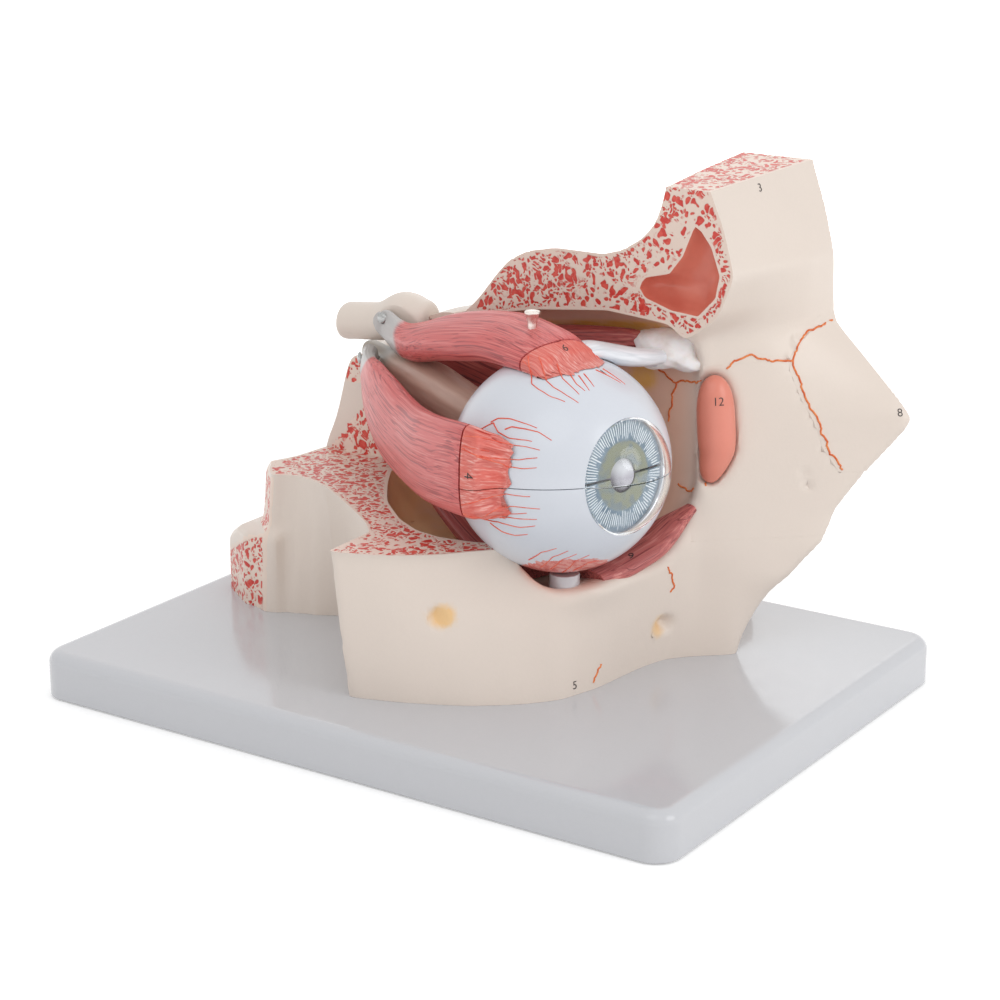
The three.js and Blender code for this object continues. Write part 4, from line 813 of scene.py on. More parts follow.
def cut_faces(piece, vertices, faces):
    """Finish 1 on faces of a cut, finish 2 on the lining of the sinus."""
    corners = vertices[faces]
    centre = corners.mean(axis=1)
    normal = np.cross(corners[:, 2] - corners[:, 0], corners[:, 3] - corners[:, 1])
    normal /= np.maximum(np.linalg.norm(normal, axis=1, keepdims=True), 1e-9)
    x, y, z = centre.T
    on_side = (np.abs(z - SIDE_CUT_Z) < 0.05) & (normal[:, 2] > 0.98)
    on_roof = (np.abs(y - ROOF_CUT_Y) < 0.05) & (normal[:, 1] < -0.98)
    on_midline = (np.abs(y - MIDLINE_Y) < 0.05) & (normal[:, 1] > 0.98)
    on_top = (np.abs(centre @ np.array(TOP_NORMAL) - TOP_OFFSET) < 0.05) & (normal[:, 2] > 0.9)
    plain_wall = on_roof & (x < -60) & (z < 97) & (z - SIDE_CUT_Z > (x + 93) * 1.1)
    on_roof = on_roof & ~plain_wall
    at_rear = (break_depth(x, y, z) > -0.8) & (normal[:, 2] < 0.75) & (normal[:, 2] > -0.9)
    lining = (sinus_distance(x, y, z) < 0.7) & (y > ROOF_CUT_Y + 0.06) & (z > 130)
    finish = np.where(on_side | on_roof | on_midline | on_top | at_rear, 1, 0)
    finish = np.where(lining, 2, finish)
    piece.data.polygons.foreach_set("material_index", finish.astype(np.int32))
    piece.data.update()


def cast_bone(name, node, low, high, planes, shape, fields=()):
    axes = bone_axes(low, high)
    x, y, z = np.meshgrid(*axes, indexing="ij")
    skull = skull_distance(x, y, z).astype(np.float32)
    extra = [field(x, y, z).astype(np.float32) for field in fields]
    vertices, faces = contour([skull, *COMMON_PLANES, *planes, *extra], shape, axes)
    piece = piece_from(name, vertices, faces, [bone_paint, spongy_bone, sinus_lining], bone_marks(vertices))
    cut_faces(piece, vertices, faces)
    return fit(piece, "skull", [node])


def cheek_shape(values):
    temple_x, temple_y, medial_y, medial_z = values[6:]
    kept = np.maximum(common_shape(values), -np.maximum(temple_x, temple_y))
    return np.maximum(kept, -np.maximum(medial_y, medial_z))


def temple_shape(values):
    return np.maximum(common_shape(values), np.maximum(*values[6:]))


def medial_shape(values):
    temple_x, temple_y, medial_y, medial_z, ceiling, nasal_x, nasal_edge = values[6:]
    kept = np.maximum(common_shape(values), -np.maximum(temple_x, temple_y))
    kept = np.maximum(np.maximum(kept, np.maximum(medial_y, medial_z)), ceiling)
    return np.maximum(kept, -np.maximum(nasal_x, nasal_edge))


def frontal_shape(values):
    floor, nasal_x, nasal_edge = values[6:]
    return np.maximum(np.maximum(common_shape(values), floor), -np.maximum(nasal_x, nasal_edge))


def nasal_shape(values):
    return np.maximum(common_shape(values), np.maximum(*values[6:]))


def nasal_edge_field(x, y, z):
    return outline_distance(NASAL_OUTLINE, y, z) + 0 * x


TEMPLE_PLANES = [flat(1, 0, 0, TEMPLE_FRONT_X), flat(0, 1, 0, ROOF_CUT_Y + 6)]
MEDIAL_PLANES = [flat(0, -1, 0, -ROOF_CUT_Y), flat(0, 0, -1, -MEDIAL_SEAM_Z)]
NASAL_PLANE = flat(-1, 0, 0, -NASAL_REAR_X)
CEILING = flat(0, 0, 1, FRONTAL_SEAM_Z)
FLOOR = flat(0, 0, -1, -FRONTAL_SEAM_Z)

cheek = cast_bone("cheek_bone_cast", "cheek_bone", (-128, -78, 12), (128, 88, 76),
                  TEMPLE_PLANES + MEDIAL_PLANES, cheek_shape)
cast_bone("temple_bone_cast", "temple_bone", (-130, -40, 12), (-28, 40, 114),
          TEMPLE_PLANES, temple_shape)
medial = cast_bone("medial_wall_cast", "medial_wall", (-110, 22, 54), (130, 88, 126),
                   TEMPLE_PLANES + MEDIAL_PLANES + [CEILING, NASAL_PLANE], medial_shape, [nasal_edge_field])
frontal = cast_bone("frontal_bone_cast", "frontal_bone", (-110, 22, 114), (130, 88, 192),
                    [FLOOR, NASAL_PLANE], frontal_shape, [nasal_edge_field])
nasal = cast_bone("nasal_bone_cast", "nasal_bone", (66, 54, 76), (130, 88, 138),
                  [NASAL_PLANE], nasal_shape, [nasal_edge_field])

# %% [markdown]
# The base is a moulded tray of glossy pale grey plastic. Its walls, top edge and corners are rounded by
# their own radii, so it is built from rings of points that follow the rounded outline.

# %% Base finish
base_plastic, tree, shader = new_material("glossy white plastic", Roughness=0.28, Coat_Weight=0.25,
                                          Coat_Roughness=0.1)
plastic = use_group(tree, cast_group, {"Colour": colour(200, 201, 205), "Drift": 0.025, "Size": 14.0})
tree.links.new(plastic["Colour"], shader["Base Color"])
scuffs = noise(tree, object_place(tree), 190.0, 5.0, 0.7)
tree.links.new(fade(tree, scuffs, 0.35, 0.75, 0.12, 0.24), shader["Roughness"])
set_bump(tree, shader, plastic["Height"], 0.12, 0.0008)

# %% Base tray
BASE_LENGTH = 260
BASE_WIDTH = 195
BASE_CORNER = 9.5
BASE_EDGE = 4.5
BASE_WALL = 3.2
FOOT_DROP = 0.5
CORNER_STEPS = 10


def rounded_ring(inset, height):
    """Points round the base's outline, moved inwards by inset."""
    radius = max(BASE_CORNER - inset, 0.8)
    half_x = BASE_LENGTH / 2 - inset - radius
    half_y = BASE_WIDTH / 2 - inset - radius
    points = []
    for sx, sy, start in ((1, 1, 0), (-1, 1, 90), (-1, -1, 180), (1, -1, 270)):
        for n in range(CORNER_STEPS + 1):
            angle = math.radians(start + 90 * n / CORNER_STEPS)
            points.append((sx * half_x + radius * math.cos(angle), sy * half_y + radius * math.sin(angle),
                           height))
    return points


def ring_faces(rows, count, closed_first=True, closed_last=True):
    """Quads between rings of equally many points, and a cap on each open end."""
    row, column = np.meshgrid(np.arange(rows - 1), np.arange(count), indexing="ij")
    here = (row * count + column).ravel()
    beside = (row * count + (column + 1) % count).ravel()
    tables = [np.stack([here, beside, beside + count, here + count], 1)]
    if closed_first:
        tables.append(np.arange(count)[::-1][None, :])
    if closed_last:
        tables.append((np.arange(count) + (rows - 1) * count)[None, :])
    return tables


rings = [rounded_ring(6, 14.2), rounded_ring(BASE_WALL + 0.8, 14.2), rounded_ring(BASE_WALL, 13.4),
         rounded_ring(BASE_WALL, FOOT_DROP + 0.3), rounded_ring(BASE_WALL - 0.4, FOOT_DROP),
         rounded_ring(0.4, FOOT_DROP), rounded_ring(0, FOOT_DROP + 0.4)]
for step in range(9):
    angle = math.pi / 2 * step / 8
    rings.append(rounded_ring(BASE_EDGE * (1 - math.cos(angle)),
                              BASE_TOP - BASE_EDGE * (1 - math.sin(angle))))
rings.append(rounded_ring(BASE_EDGE + 0.8, BASE_TOP))
tray = piece_from("base_tray", np.array(rings).reshape(-1, 3), ring_faces(len(rings), len(rings[0])),
                  base_plastic)
fit(tray, "skull", ["base_plate"])

# %% [markdown]
# Cover, feet and the three screws that hold the bones sit under the base. Their CAD shapes are right,
# so they only get a finish: pressed board, rubber and steel.

# %% Finishes of the small parts
board, tree, shader = new_material("pressed board", Roughness=0.75)
fibres = noise(tree, object_place(tree), 260.0, 6.0, 0.7)
two_tones(tree, shader, fibres, 0.3, 0.7, colour(206, 204, 198), colour(224, 223, 219))
set_bump(tree, shader, fibres, 0.3, 0.0004)

rubber, tree, shader = new_material("black rubber", Roughness=0.85)
grit = noise(tree, object_place(tree), 1200.0, 3.0)
tree.links.new(mix_colour(tree, grit, colour(28, 28, 28), colour(52, 52, 52)), shader["Base Color"])
set_bump(tree, shader, grit, 0.4, 0.0003)


def metal_finish(name, dark, light, roughness):
    material, tree, shader = new_material(name, Metallic=1.0, Roughness=roughness)
    place = object_place(tree)
    drawn = vector_calc(tree, "MULTIPLY", place, (1, 1, 0.05))
    brushed = noise(tree, drawn, 2600.0, 2.0)
    tree.links.new(mix_colour(tree, brushed, dark, light), shader["Base Color"])
    tree.links.new(fade(tree, brushed, 0.3, 0.7, roughness * 0.8, roughness * 1.3), shader["Roughness"])
    set_bump(tree, shader, brushed, 0.1, 0.0001)
    return material


steel = metal_finish("steel", colour(150, 150, 150), colour(190, 190, 188), 0.3)
nickel = metal_finish("bright nickel", colour(214, 206, 198), colour(240, 234, 228), 0.3)


def dress(nodes, finish):
    for node in nodes:
        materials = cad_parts[node].data.materials
        materials.clear()
        materials.append(finish)


dress(["base_cover"], board)
dress([f"base_foot_{n}" for n in range(1, 5)], rubber)
dress([f"bone_screw_{n}" for n in range(1, 4)], steel)

# %% [markdown]
# The knob at the orbit's tip is the stub of the lesser wing. It is a round bar that swells into a
# knob, so two simple fields melt into each other and the same contouring makes the mesh.

# %% Lesser wing
SUPERIOR_PIVOT = np.array([-60, 20.5, 125.8])
SUPERIOR_PLATE = 4
WING_CENTRE = (30, 119.3)
WING_RISE = 0.11
WING_REAR_X = -86.5
WING_KNOB = (-57.5, 30, 125)


def wing_field(x, y, z):
    height = WING_CENTRE[1] + WING_RISE * (x - WING_REAR_X)
    bar = np.hypot(y - WING_CENTRE[0], z - height) - 7.1
    bar = soft_max(soft_max(bar, WING_REAR_X - x, 3), x + 47, 3)
    knob = ball_distance(x, y, z, WING_KNOB, (9.9, 8.6, 8.6))
    return soft_min(bar, knob, 5)


wing_axes = [np.arange(a, b, 0.9) for a, b in ((-92.2, -40), (16.3, 46), (106.1, 140))]
x, y, z = np.meshgrid(*wing_axes, indexing="ij")
pad = flat(0, -1, 0, -(SUPERIOR_PIVOT[1] + SUPERIOR_PLATE / 2 + GAP))
vertices, faces = contour([wing_field(x, y, z), pad], lambda v: np.maximum(v[0], v[1]), wing_axes)
nothing = np.zeros(len(vertices))
wing = piece_from("lesser_wing_cast", vertices, faces, bone_paint,
                  {"inner": nothing, "ochre": nothing, "depth": nothing})
fit(wing, "skull", ["lesser_wing"])

# %% Lacrimal sac
sac_paint, tree, shader = new_material("sac paint", Roughness=0.34, Coat_Weight=0.25, Coat_Roughness=0.15)
painted = use_group(tree, cast_group, {"Colour": colour(224, 134, 114), "Drift": 0.16, "Size": 45.0,
                                       "Seed": 8.0})
tree.links.new(painted["Colour"], shader["Base Color"])
set_bump(tree, shader, painted["Height"], 0.3, 0.001)

sac_axes = [np.arange(a, b, 0.8) for a, b in ((58.1, 79), (29.1, 51), (76.1, 121))]
x, y, z = np.meshgrid(*sac_axes, indexing="ij")
vertices, faces = contour([sac_distance(x, y, z, 0)], lambda v: v[0], sac_axes)
sac = piece_from("lacrimal_sac_cast", vertices, faces, sac_paint)
fit(sac, "skull", ["lacrimal_sac"])

# %% [markdown]
# The eyeball is turned about its own axis: each shell is a profile of (distance along the axis,
# radius) points that is swung through half a turn, once for the upper and once for the lower half.
# The place on the eye's own axis stays on the mesh as a mask, for the iris and the lens.

# %% Eyeball sizes
EYE = np.array([40, -17, 96])
EYE_YAW = math.radians(-13.7)
EYE_PITCH = math.radians(3.4)
GLOBE_RADIUS = 37.5
SCLERA_INNER = 33.5
CHOROID_OUTER = 33.2
CHOROID_INNER = 30.8
VITREOUS_RADIUS = 30.5
LIMBUS_RADIUS = 19.7
LIMBUS_X = math.sqrt(GLOBE_RADIUS ** 2 - LIMBUS_RADIUS ** 2)
CORNEA_CURVE = 24
CORNEA_WALL = 1.6
CORNEA_CENTRE = LIMBUS_X - math.sqrt(CORNEA_CURVE ** 2 - LIMBUS_RADIUS ** 2) + GAP
EYE_TURN = np.array(Matrix.Rotation(EYE_YAW, 3, "Z") @ Matrix.Rotation(-EYE_PITCH, 3, "Y"))
IRIS_RADIUS = 19.1
PUPIL_RADIUS = 5.9


def on_eye(points):
    """From the eye's own axes to the model's."""
    return np.asarray(points) @ EYE_TURN.T + EYE


def arc(radius, centre, start, stop, steps):
    """Points of a circle on the axis, by angle from the axis in degrees."""
    angles = np.radians(np.linspace(start, stop, steps))
    return np.stack([centre + radius * np.cos(angles), radius * np.sin(angles)], 1)


def opening_angle(radius, opening):
    return math.degrees(math.asin(opening / radius))


# %% Turned halves
def turned_half(name, profile, finish, upper, sides=72, lift=0.0, seam=0.15, marks=None):
    """Swings a closed profile through half a turn, and closes both flat ends."""
    angles = np.linspace(0, math.pi, sides + 1)
    turn = 1 if upper else -1
    count = len(profile)
    points = np.zeros((sides + 1, count, 3))
    points[:, :, 0] = profile[:, 0]
    points[:, :, 1] = profile[:, 1] * np.cos(angles)[:, None]
    points[:, :, 2] = turn * (profile[:, 1] * np.sin(angles)[:, None] + lift)
    least = turn * points[:, :, 2] < seam
    points[:, :, 2] = np.where(least, turn * seam, points[:, :, 2])
    row, column = np.meshgrid(np.arange(sides), np.arange(count), indexing="ij")
    here = (row * count + column).ravel()
    beside = (row * count + (column + 1) % count).ravel()
    sides_table = np.stack([here, beside, beside + count, here + count], 1)
    caps = [np.arange(count)[::-1][None, :], (np.arange(count) + sides * count)[None, :]]
    if upper:
        sides_table = sides_table[:, ::-1]
        caps = [cap[:, ::-1] for cap in caps]
    local = points.reshape(-1, 3)
    masks = {"eye": local * 0.001}
    for label, values in (marks or {}).items():
        masks[label] = np.tile(values, sides + 1)
    return closed_piece(name, on_eye(local), [sides_table, *caps], finish, masks)


def closed_piece(name, vertices, faces, finish, marks=None, sharp=38.0):
    """As piece_from, with doubles merged and every face looking outwards."""
    piece = piece_from(name, vertices, faces, finish, marks, sharp)
    work = bmesh.new()
    work.from_mesh(piece.data)
    bmesh.ops.remove_doubles(work, verts=work.verts, dist=2e-6)
    bmesh.ops.dissolve_degenerate(work, edges=work.edges, dist=1e-7)
    bmesh.ops.recalc_face_normals(work, faces=work.faces)
    work.to_mesh(piece.data)
    work.free()
    piece.data.shade_smooth()
    piece.data.set_sharp_from_angle(angle=math.radians(sharp))
    return piece


def shell_profile(outer, inner, opening):
    """A round wall from the rear pole to an opening, as a closed profile."""
    outside = arc(outer, 0, 180, opening_angle(outer, opening), 60)
    inside = arc(inner, 0, opening_angle(inner, opening), 180, 60)
    return np.concatenate([outside, inside])


# %% [markdown]
# The white shell is satin plastic with a cool tint. The clear dome in front lets light through to the
# iris, so for shadow and bounce light it counts as empty, and for the camera as glass.

# %% Shell finishes
sclera_white, tree, shader = new_material("sclera white", Roughness=0.27, Coat_Weight=0.2,
                                          Coat_Roughness=0.12)
white = use_group(tree, cast_group, {"Colour": colour(214, 218, 226), "Drift": 0.03, "Size": 40.0})
stretched = vector_calc(tree, "MULTIPLY", object_place(tree), (1, 0.2, 0.6))
brush = noise(tree, stretched, 700.0, 2.0)
edge = calc(tree, "ADD", attribute(tree, "insertion"),
            calc(tree, "MULTIPLY", calc(tree, "SUBTRACT", brush, 0.5), 0.9))
fleshy = mix_colour(tree, fade(tree, brush, 0.4, 0.6), colour(214, 104, 96), colour(226, 146, 138))
worn = mix_colour(tree, fade(tree, edge, 0.45, 0.6), white["Colour"], fleshy)
tree.links.new(worn, shader["Base Color"])
set_bump(tree, shader, white["Height"], 0.15, 0.0006)


def clear_finish(name, tint, roughness, haze):
    material, tree, shader = new_material(name, Roughness=roughness, IOR=1.4, Transmission_Weight=1.0)
    smears = noise(tree, object_place(tree), 60.0, 1.0)
    tree.links.new(mix_colour(tree, fade(tree, smears, 0.4, 0.75), tint, haze), shader["Base Color"])
    set_bump(tree, shader, smears, 0.02, 0.0003)
    path = add_node(tree, "ShaderNodeLightPath")
    passed = calc(tree, "MAXIMUM", path.outputs["Is Shadow Ray"], path.outputs["Is Diffuse Ray"])
    empty = add_node(tree, "ShaderNodeBsdfTransparent", {"Color": (0.97, 0.98, 0.98, 1)})
    glass = tree.nodes["Principled BSDF"].outputs[0]
    either = add_node(tree, "ShaderNodeMixShader", {0: passed, 1: glass, 2: empty.outputs[0]})
    tree.links.new(either.outputs[0], tree.nodes["Material Output"].inputs["Surface"])
    return material


cornea_clear = clear_finish("cornea clear", (0.98, 0.99, 1, 1), 0.02, (0.93, 0.95, 0.97, 1))
vitreous_clear = clear_finish("vitreous clear", (0.93, 0.96, 0.97, 1), 0.04, (0.88, 0.92, 0.93, 1))
frosted, tree, shader = new_material("frosted edge", Roughness=0.5)
grain = noise(tree, object_place(tree), 1500.0, 2.0)
tree.links.new(mix_colour(tree, grain, colour(196, 200, 208), colour(232, 235, 240)), shader["Base Color"])

choroid_paint, tree, shader = new_material("choroid paint", Roughness=0.5, Coat_Weight=0.15)
place = object_place(tree)
veins = add_node(tree, "ShaderNodeTexVoronoi", {"Vector": place, "Scale": 160.0},
                 feature="DISTANCE_TO_EDGE")
vein_share = fade(tree, veins.outputs[0], 0.1, 0.0)
outside = mix_colour(tree, vein_share, colour(92, 48, 42), colour(140, 50, 44))
inside = mix_colour(tree, vein_share, colour(214, 112, 78), colour(178, 46, 40))
both = mix_colour(tree, attribute(tree, "retina"), outside, inside)
tree.links.new(use_group(tree, cast_group, {"Colour": both, "Drift": 0.1, "Size": 80.0})["Colour"],
               shader["Base Color"])
set_bump(tree, shader, vein_share, 0.2, 0.0003)

INSERTION_WAY = Vector((0.26, -0.31, -0.914))
INSERTION_REACH = 27


def mark_insertion(shell):
    """Masks where the lower straight muscle is painted on the white shell."""
    layer = shell.data.attributes.new("insertion", "FLOAT", "POINT")
    centre = Vector(EYE) * 0.001
    for vertex in shell.data.vertices:
        apart = math.degrees((vertex.co - centre).angle(INSERTION_WAY))
        layer.data[vertex.index].value = min(max((INSERTION_REACH - apart) / 8, 0), 1)


# %% Shells of the eyeball
for upper, half in ((True, "upper"), (False, "lower")):
    body = "upper_shell" if upper else "eyeball"
    deeper = "upper_choroid" if upper else "eyeball"
    sclera = turned_half(f"sclera_{half}_shell", shell_profile(GLOBE_RADIUS, SCLERA_INNER, LIMBUS_RADIUS),
                         sclera_white, upper)
    mark_insertion(sclera)
    fit(sclera, body, [f"sclera_{half}"])
    rim = opening_angle(CORNEA_CURVE, LIMBUS_RADIUS)
    dome = np.concatenate([arc(CORNEA_CURVE, CORNEA_CENTRE, 0, rim, 24),
                           arc(CORNEA_CURVE - CORNEA_WALL, CORNEA_CENTRE, rim, 0, 24)])
    cornea = turned_half(f"cornea_{half}_dome", dome, [cornea_clear, frosted], upper)
    fit(cornea, body, [f"cornea_{half}"])
    profile = shell_profile(CHOROID_OUTER, CHOROID_INNER, LIMBUS_RADIUS)
    retina = np.concatenate([np.zeros(60), np.ones(60)])
    choroid = turned_half(f"choroid_{half}_shell", profile, choroid_paint, upper, marks={"retina": retina})
    fit(choroid, deeper, [f"choroid_{half}"])

# %% [markdown]
# The iris is a printed disc. Its picture is drawn in the shader from the radius and the angle round
# the eye's axis: an olive inner disc, a grey-blue ring and white rays of uneven length and width.

# %% Iris finish
iris_print, tree, shader = new_material("iris print", Roughness=0.6)
local = add_node(tree, "ShaderNodeSeparateXYZ", {0: attribute(tree, "eye", "Vector")}).outputs
radius = calc(tree, "MULTIPLY", length_of(tree, local[1], local[2]), 1000.0)
angle = calc(tree, "ARCTAN2", local[2], local[1])
RAYS = 104
wander = calc(tree, "MULTIPLY", noise(tree, attribute(tree, "eye", "Vector"), 110.0, 1.0), 1.1)
turn_share = calc(tree, "ADD", calc(tree, "MULTIPLY", angle, RAYS / (2 * math.pi)), wander)
ray_number = calc(tree, "FLOOR", turn_share)
chance = add_node(tree, "ShaderNodeTexWhiteNoise", {"W": ray_number}, noise_dimensions="1D").outputs[0]
chance_two = add_node(tree, "ShaderNodeTexWhiteNoise", {"W": calc(tree, "ADD", ray_number, 57.3)},
                      noise_dimensions="1D").outputs[0]
across = calc(tree, "ABSOLUTE", calc(tree, "SUBTRACT", calc(tree, "FRACT", turn_share), 0.5))
ray_width = calc(tree, "MULTIPLY_ADD", chance, 0.12, 0.16)
line = fade(tree, calc(tree, "SUBTRACT", across, ray_width), 0.05, -0.05)
start = calc(tree, "MULTIPLY_ADD", chance_two, 2.6, 11.2)
stop = calc(tree, "MULTIPLY_ADD", chance, -1.8, 19.0)
from_start = fade(tree, calc(tree, "SUBTRACT", radius, start), 0.0, 0.9)
to_stop = fade(tree, calc(tree, "SUBTRACT", stop, radius), 0.0, 1.4)
rays = calc(tree, "MULTIPLY", calc(tree, "MULTIPLY", line, from_start), to_stop)
cloud = noise(tree, attribute(tree, "eye", "Vector"), 260.0, 1.0)
ring_blue = mix_colour(tree, fade(tree, cloud, 0.35, 0.65), colour(112, 132, 148), colour(132, 150, 166))
disc_olive = mix_colour(tree, fade(tree, cloud, 0.4, 0.65), colour(146, 148, 126), colour(128, 138, 140))
ground = mix_colour(tree, fade(tree, radius, 11.0, 12.2), disc_olive, ring_blue)
rim_dark = mix_colour(tree, fade(tree, radius, 18.2, 18.8, 0.0, 0.55), ground, colour(92, 108, 126))
drawn = mix_colour(tree, rays, rim_dark, colour(236, 240, 243))
tree.links.new(drawn, shader["Base Color"])
set_bump(tree, shader, rays, 0.15, 0.0002)

lens_milky, tree, shader = new_material("lens milky", Roughness=0.5)
milk = noise(tree, object_place(tree), 90.0, 3.0)
milky = mix_colour(tree, fade(tree, milk, 0.3, 0.7), colour(178, 172, 184), colour(198, 194, 202))
local = add_node(tree, "ShaderNodeSeparateXYZ", {0: attribute(tree, "eye", "Vector")}).outputs
from_axis = length_of(tree, local[1], local[2])
# Painted reflection: the upper half of the lens is painted near white, as a light reflection.
painted_highlight_share = fade(tree, local[2], -0.001, 0.004)
lit = mix_colour(tree, painted_highlight_share, milky, colour(232, 232, 236))
# Painted shade: a dark ring round the pupil's edge, darker below, where the lens meets the iris.
edge = calc(tree, "MULTIPLY", fade(tree, from_axis, 0.0036, 0.0052),
            fade(tree, local[2], 0.003, -0.003, 0.25, 0.9))
tree.links.new(mix_colour(tree, edge, lit, colour(70, 60, 70)), shader["Base Color"])
set_bump(tree, shader, milk, 0.08, 0.0005)

# %% Iris, lens and vitreous body
iris_profile = np.array([(28.7, PUPIL_RADIUS), (29.5, PUPIL_RADIUS - 0.15), (29.75, PUPIL_RADIUS + 0.2),
                         (29.75, 11.5), (29.5, 17.0), (29.35, IRIS_RADIUS - 0.2), (29.2, IRIS_RADIUS),
                         (28.7, IRIS_RADIUS), (28.6, 12)])
for upper, half in ((True, "upper"), (False, "lower")):
    iris = turned_half(f"iris_{half}_disc", iris_profile, iris_print, upper, 90, 0.0, 0.45)
    fit(iris, "upper_choroid" if upper else "eyeball", [f"iris_{half}"])


def turned_full(name, profile, finish, sides=64, place=on_eye):
    """Swings an open profile, which starts and ends on the axis, through a full turn."""
    angles = np.linspace(0, 2 * math.pi, sides, endpoint=False)
    points = np.zeros((len(profile), sides, 3))
    points[:, :, 0] = profile[:, 0][:, None]
    points[:, :, 1] = profile[:, 1][:, None] * np.cos(angles)
    points[:, :, 2] = profile[:, 1][:, None] * np.sin(angles)
    local = points.reshape(-1, 3)
    faces = ring_faces(len(profile), sides, False, False)
    return closed_piece(name, place(local), faces, finish, {"eye": local * 0.001})


LENS_CENTRE = 23.3
angles = np.linspace(0, math.pi, 60)
lens_x = 6.0 * np.cos(angles)
lens_r = 13.0 * np.sin(angles) ** 0.85
boss = 2.7 * ease((5.6 - lens_r) / 3.2) * (lens_x > 0)
lens_profile = np.stack([LENS_CENTRE + lens_x + boss, lens_r], 1)
lens = turned_full("lens_body", lens_profile, lens_milky)
fit(lens, "lens", ["lens"])

front = 25.9
pocket = np.array([(LENS_CENTRE - 6.4 * math.cos(a), 13.5 * math.sin(a) ** 0.85)
                   for a in np.linspace(0, math.pi / 2, 24)])
rim = math.degrees(math.acos(front / VITREOUS_RADIUS))
outer = arc(VITREOUS_RADIUS, 0, rim, 180, 60)
vitreous_profile = np.concatenate([pocket, [(front, 13.6)], outer])
vitreous = turned_full("vitreous_ball", vitreous_profile, vitreous_clear)
fit(vitreous, "vitreous", ["vitreous_body"])

# %% [markdown]
# A muscle is a bundle of fibres that runs from a tendon at the rear to the eyeball. It is lofted
# along a smooth path: at each step a flattened oval, whose width and thickness come from the
# stations. Every strand of the loft ends exactly on the seam's plane, and strands that would run
# through the eyeball lie on it instead. The straightened place along the muscle is kept as a mask,
# so that the painted fibres follow every bend.


# %% Muscle loft
def smooth_path(points, shares):
    """A Catmull-Rom curve through the points, the same as the CAD model's."""
    points = np.asarray(points, float)
    last = len(points) - 1
    padded = np.vstack([2 * points[0] - points[1], points, 2 * points[-1] - points[-2]])
    spots = np.clip(np.asarray(shares, float) * last, 0, last - 1e-9)
    index = spots.astype(int)
    t = (spots - index)[:, None]
    p0, p1, p2, p3 = (padded[index + n] for n in range(4))
    return 0.5 * (2 * p1 + (p2 - p0) * t + (2 * p0 - 5 * p1 + 4 * p2 - p3) * t * t
                  + (3 * p1 - p0 - 3 * p2 + p3) * t ** 3)


def off_globe(points, lift):
    """Points that would lie inside the eyeball are moved out to its skin."""
    offset = points - EYE
    distance = np.linalg.norm(offset, axis=-1, keepdims=True)
    return EYE + offset * np.maximum(distance, GLOBE_RADIUS + lift) / np.maximum(distance, 1e-6)


def strands(stations, flat_way, sides, steps, lift=None, power=0.8):
    """Places on the loft as (step, strand) tables, and the straightened place of each."""
    shares = np.linspace(0, 1, steps)
    centre = smooth_path([s[0] for s in stations], shares)
    ahead = np.gradient(centre, axis=0)
    ahead /= np.linalg.norm(ahead, axis=1, keepdims=True)
    spots = np.linspace(0, 1, len(stations))
    wide, thick, roll = (np.interp(shares, spots, [s[n] for s in stations]) for n in (1, 2, 3))
    kernel = np.hanning(2 * (steps // (2 * len(stations))) + 3)[1:-1]
    kernel /= kernel.sum()
    reach = len(kernel) // 2
    wide, thick, roll = (np.convolve(np.pad(v, reach, mode="edge"), kernel, "valid")
                         for v in (wide, thick, roll))
    up = np.asarray(flat_way, float)[None, :] - ahead * (ahead @ np.asarray(flat_way, float))[:, None]
    up /= np.linalg.norm(up, axis=1, keepdims=True)
    angle = np.radians(roll)[:, None]
    up = up * np.cos(angle) + np.cross(ahead, up) * np.sin(angle)
    side = np.cross(ahead, up)
    turn = np.linspace(0, 2 * math.pi, sides, endpoint=False)
    across = np.sign(np.cos(turn)) * np.abs(np.cos(turn)) ** power
    rise = np.sign(np.sin(turn)) * np.abs(np.sin(turn)) ** power
    sideways = across[None, :] * wide[:, None] / 2
    upwards = rise[None, :] * thick[:, None] / 2
    places = (centre[:, None, :] + side[:, None, :] * sideways[..., None]
              + up[:, None, :] * upwards[..., None])
    if lift is not None:
        places = off_globe(places, lift)
    length = np.concatenate([[0], np.cumsum(np.linalg.norm(np.diff(centre, axis=0), axis=1))])
    lay = np.stack([sideways, upwards, np.broadcast_to(length[:, None], sideways.shape)], -1)
    return places, lay


def trimmed(places, lay, first, last):
    """Each strand again, from share first to share last of its steps."""
    steps, sides = places.shape[:2]
    spots = first + (last - first) * np.linspace(0, 1, steps)[:, None]
    spots = np.clip(spots * (steps - 1), 0, steps - 1.0001)
    index = spots.astype(int)
    part = (spots - index)[..., None]
    strand = np.arange(sides)[None, :]
    new_places = places[index, strand] * (1 - part) + places[index + 1, strand] * part
    new_lay = lay[index, strand] * (1 - part) + lay[index + 1, strand] * part
    return new_places, new_lay


def reach_of(values, level):
    """For each strand, the share of its steps at which the value rises past the level, at last."""
    steps, sides = values.shape
    x = values[::-1]
    beyond = ~(x >= level)
    last = steps - 1 - np.where(beyond.any(axis=0), beyond.argmax(axis=0), steps - 1)
    last = np.minimum(last, steps - 2)
    strand = np.arange(sides)
    low, high = values[last, strand], values[last + 1, strand]
    part = np.clip((level - low) / np.maximum(high - low, 1e-6), 0, 1)
    return (last + part) / (steps - 1)


def ridged(places, lay, depth, count, seed):
    """Shallow ridges along the muscle, as in a carved pattern."""
    rng = np.random.default_rng(seed)
    steps, sides = places.shape[:2]
    wave = rng.normal(size=(6, sides))
    profile = sum(np.convolve(np.tile(row, 3), np.ones(count) / count,
                              "same")[sides:2 * sides] for row in wave[:3])
    profile = profile / np.abs(profile).max()
    middle = places.mean(axis=1, keepdims=True)
    away = places - middle
    away /= np.maximum(np.linalg.norm(away, axis=-1, keepdims=True), 1e-6)
    ends = np.sin(np.linspace(0, math.pi, steps))[:, None] ** 0.3
    return places + away * (profile[None, :] * ends * depth)[..., None], lay


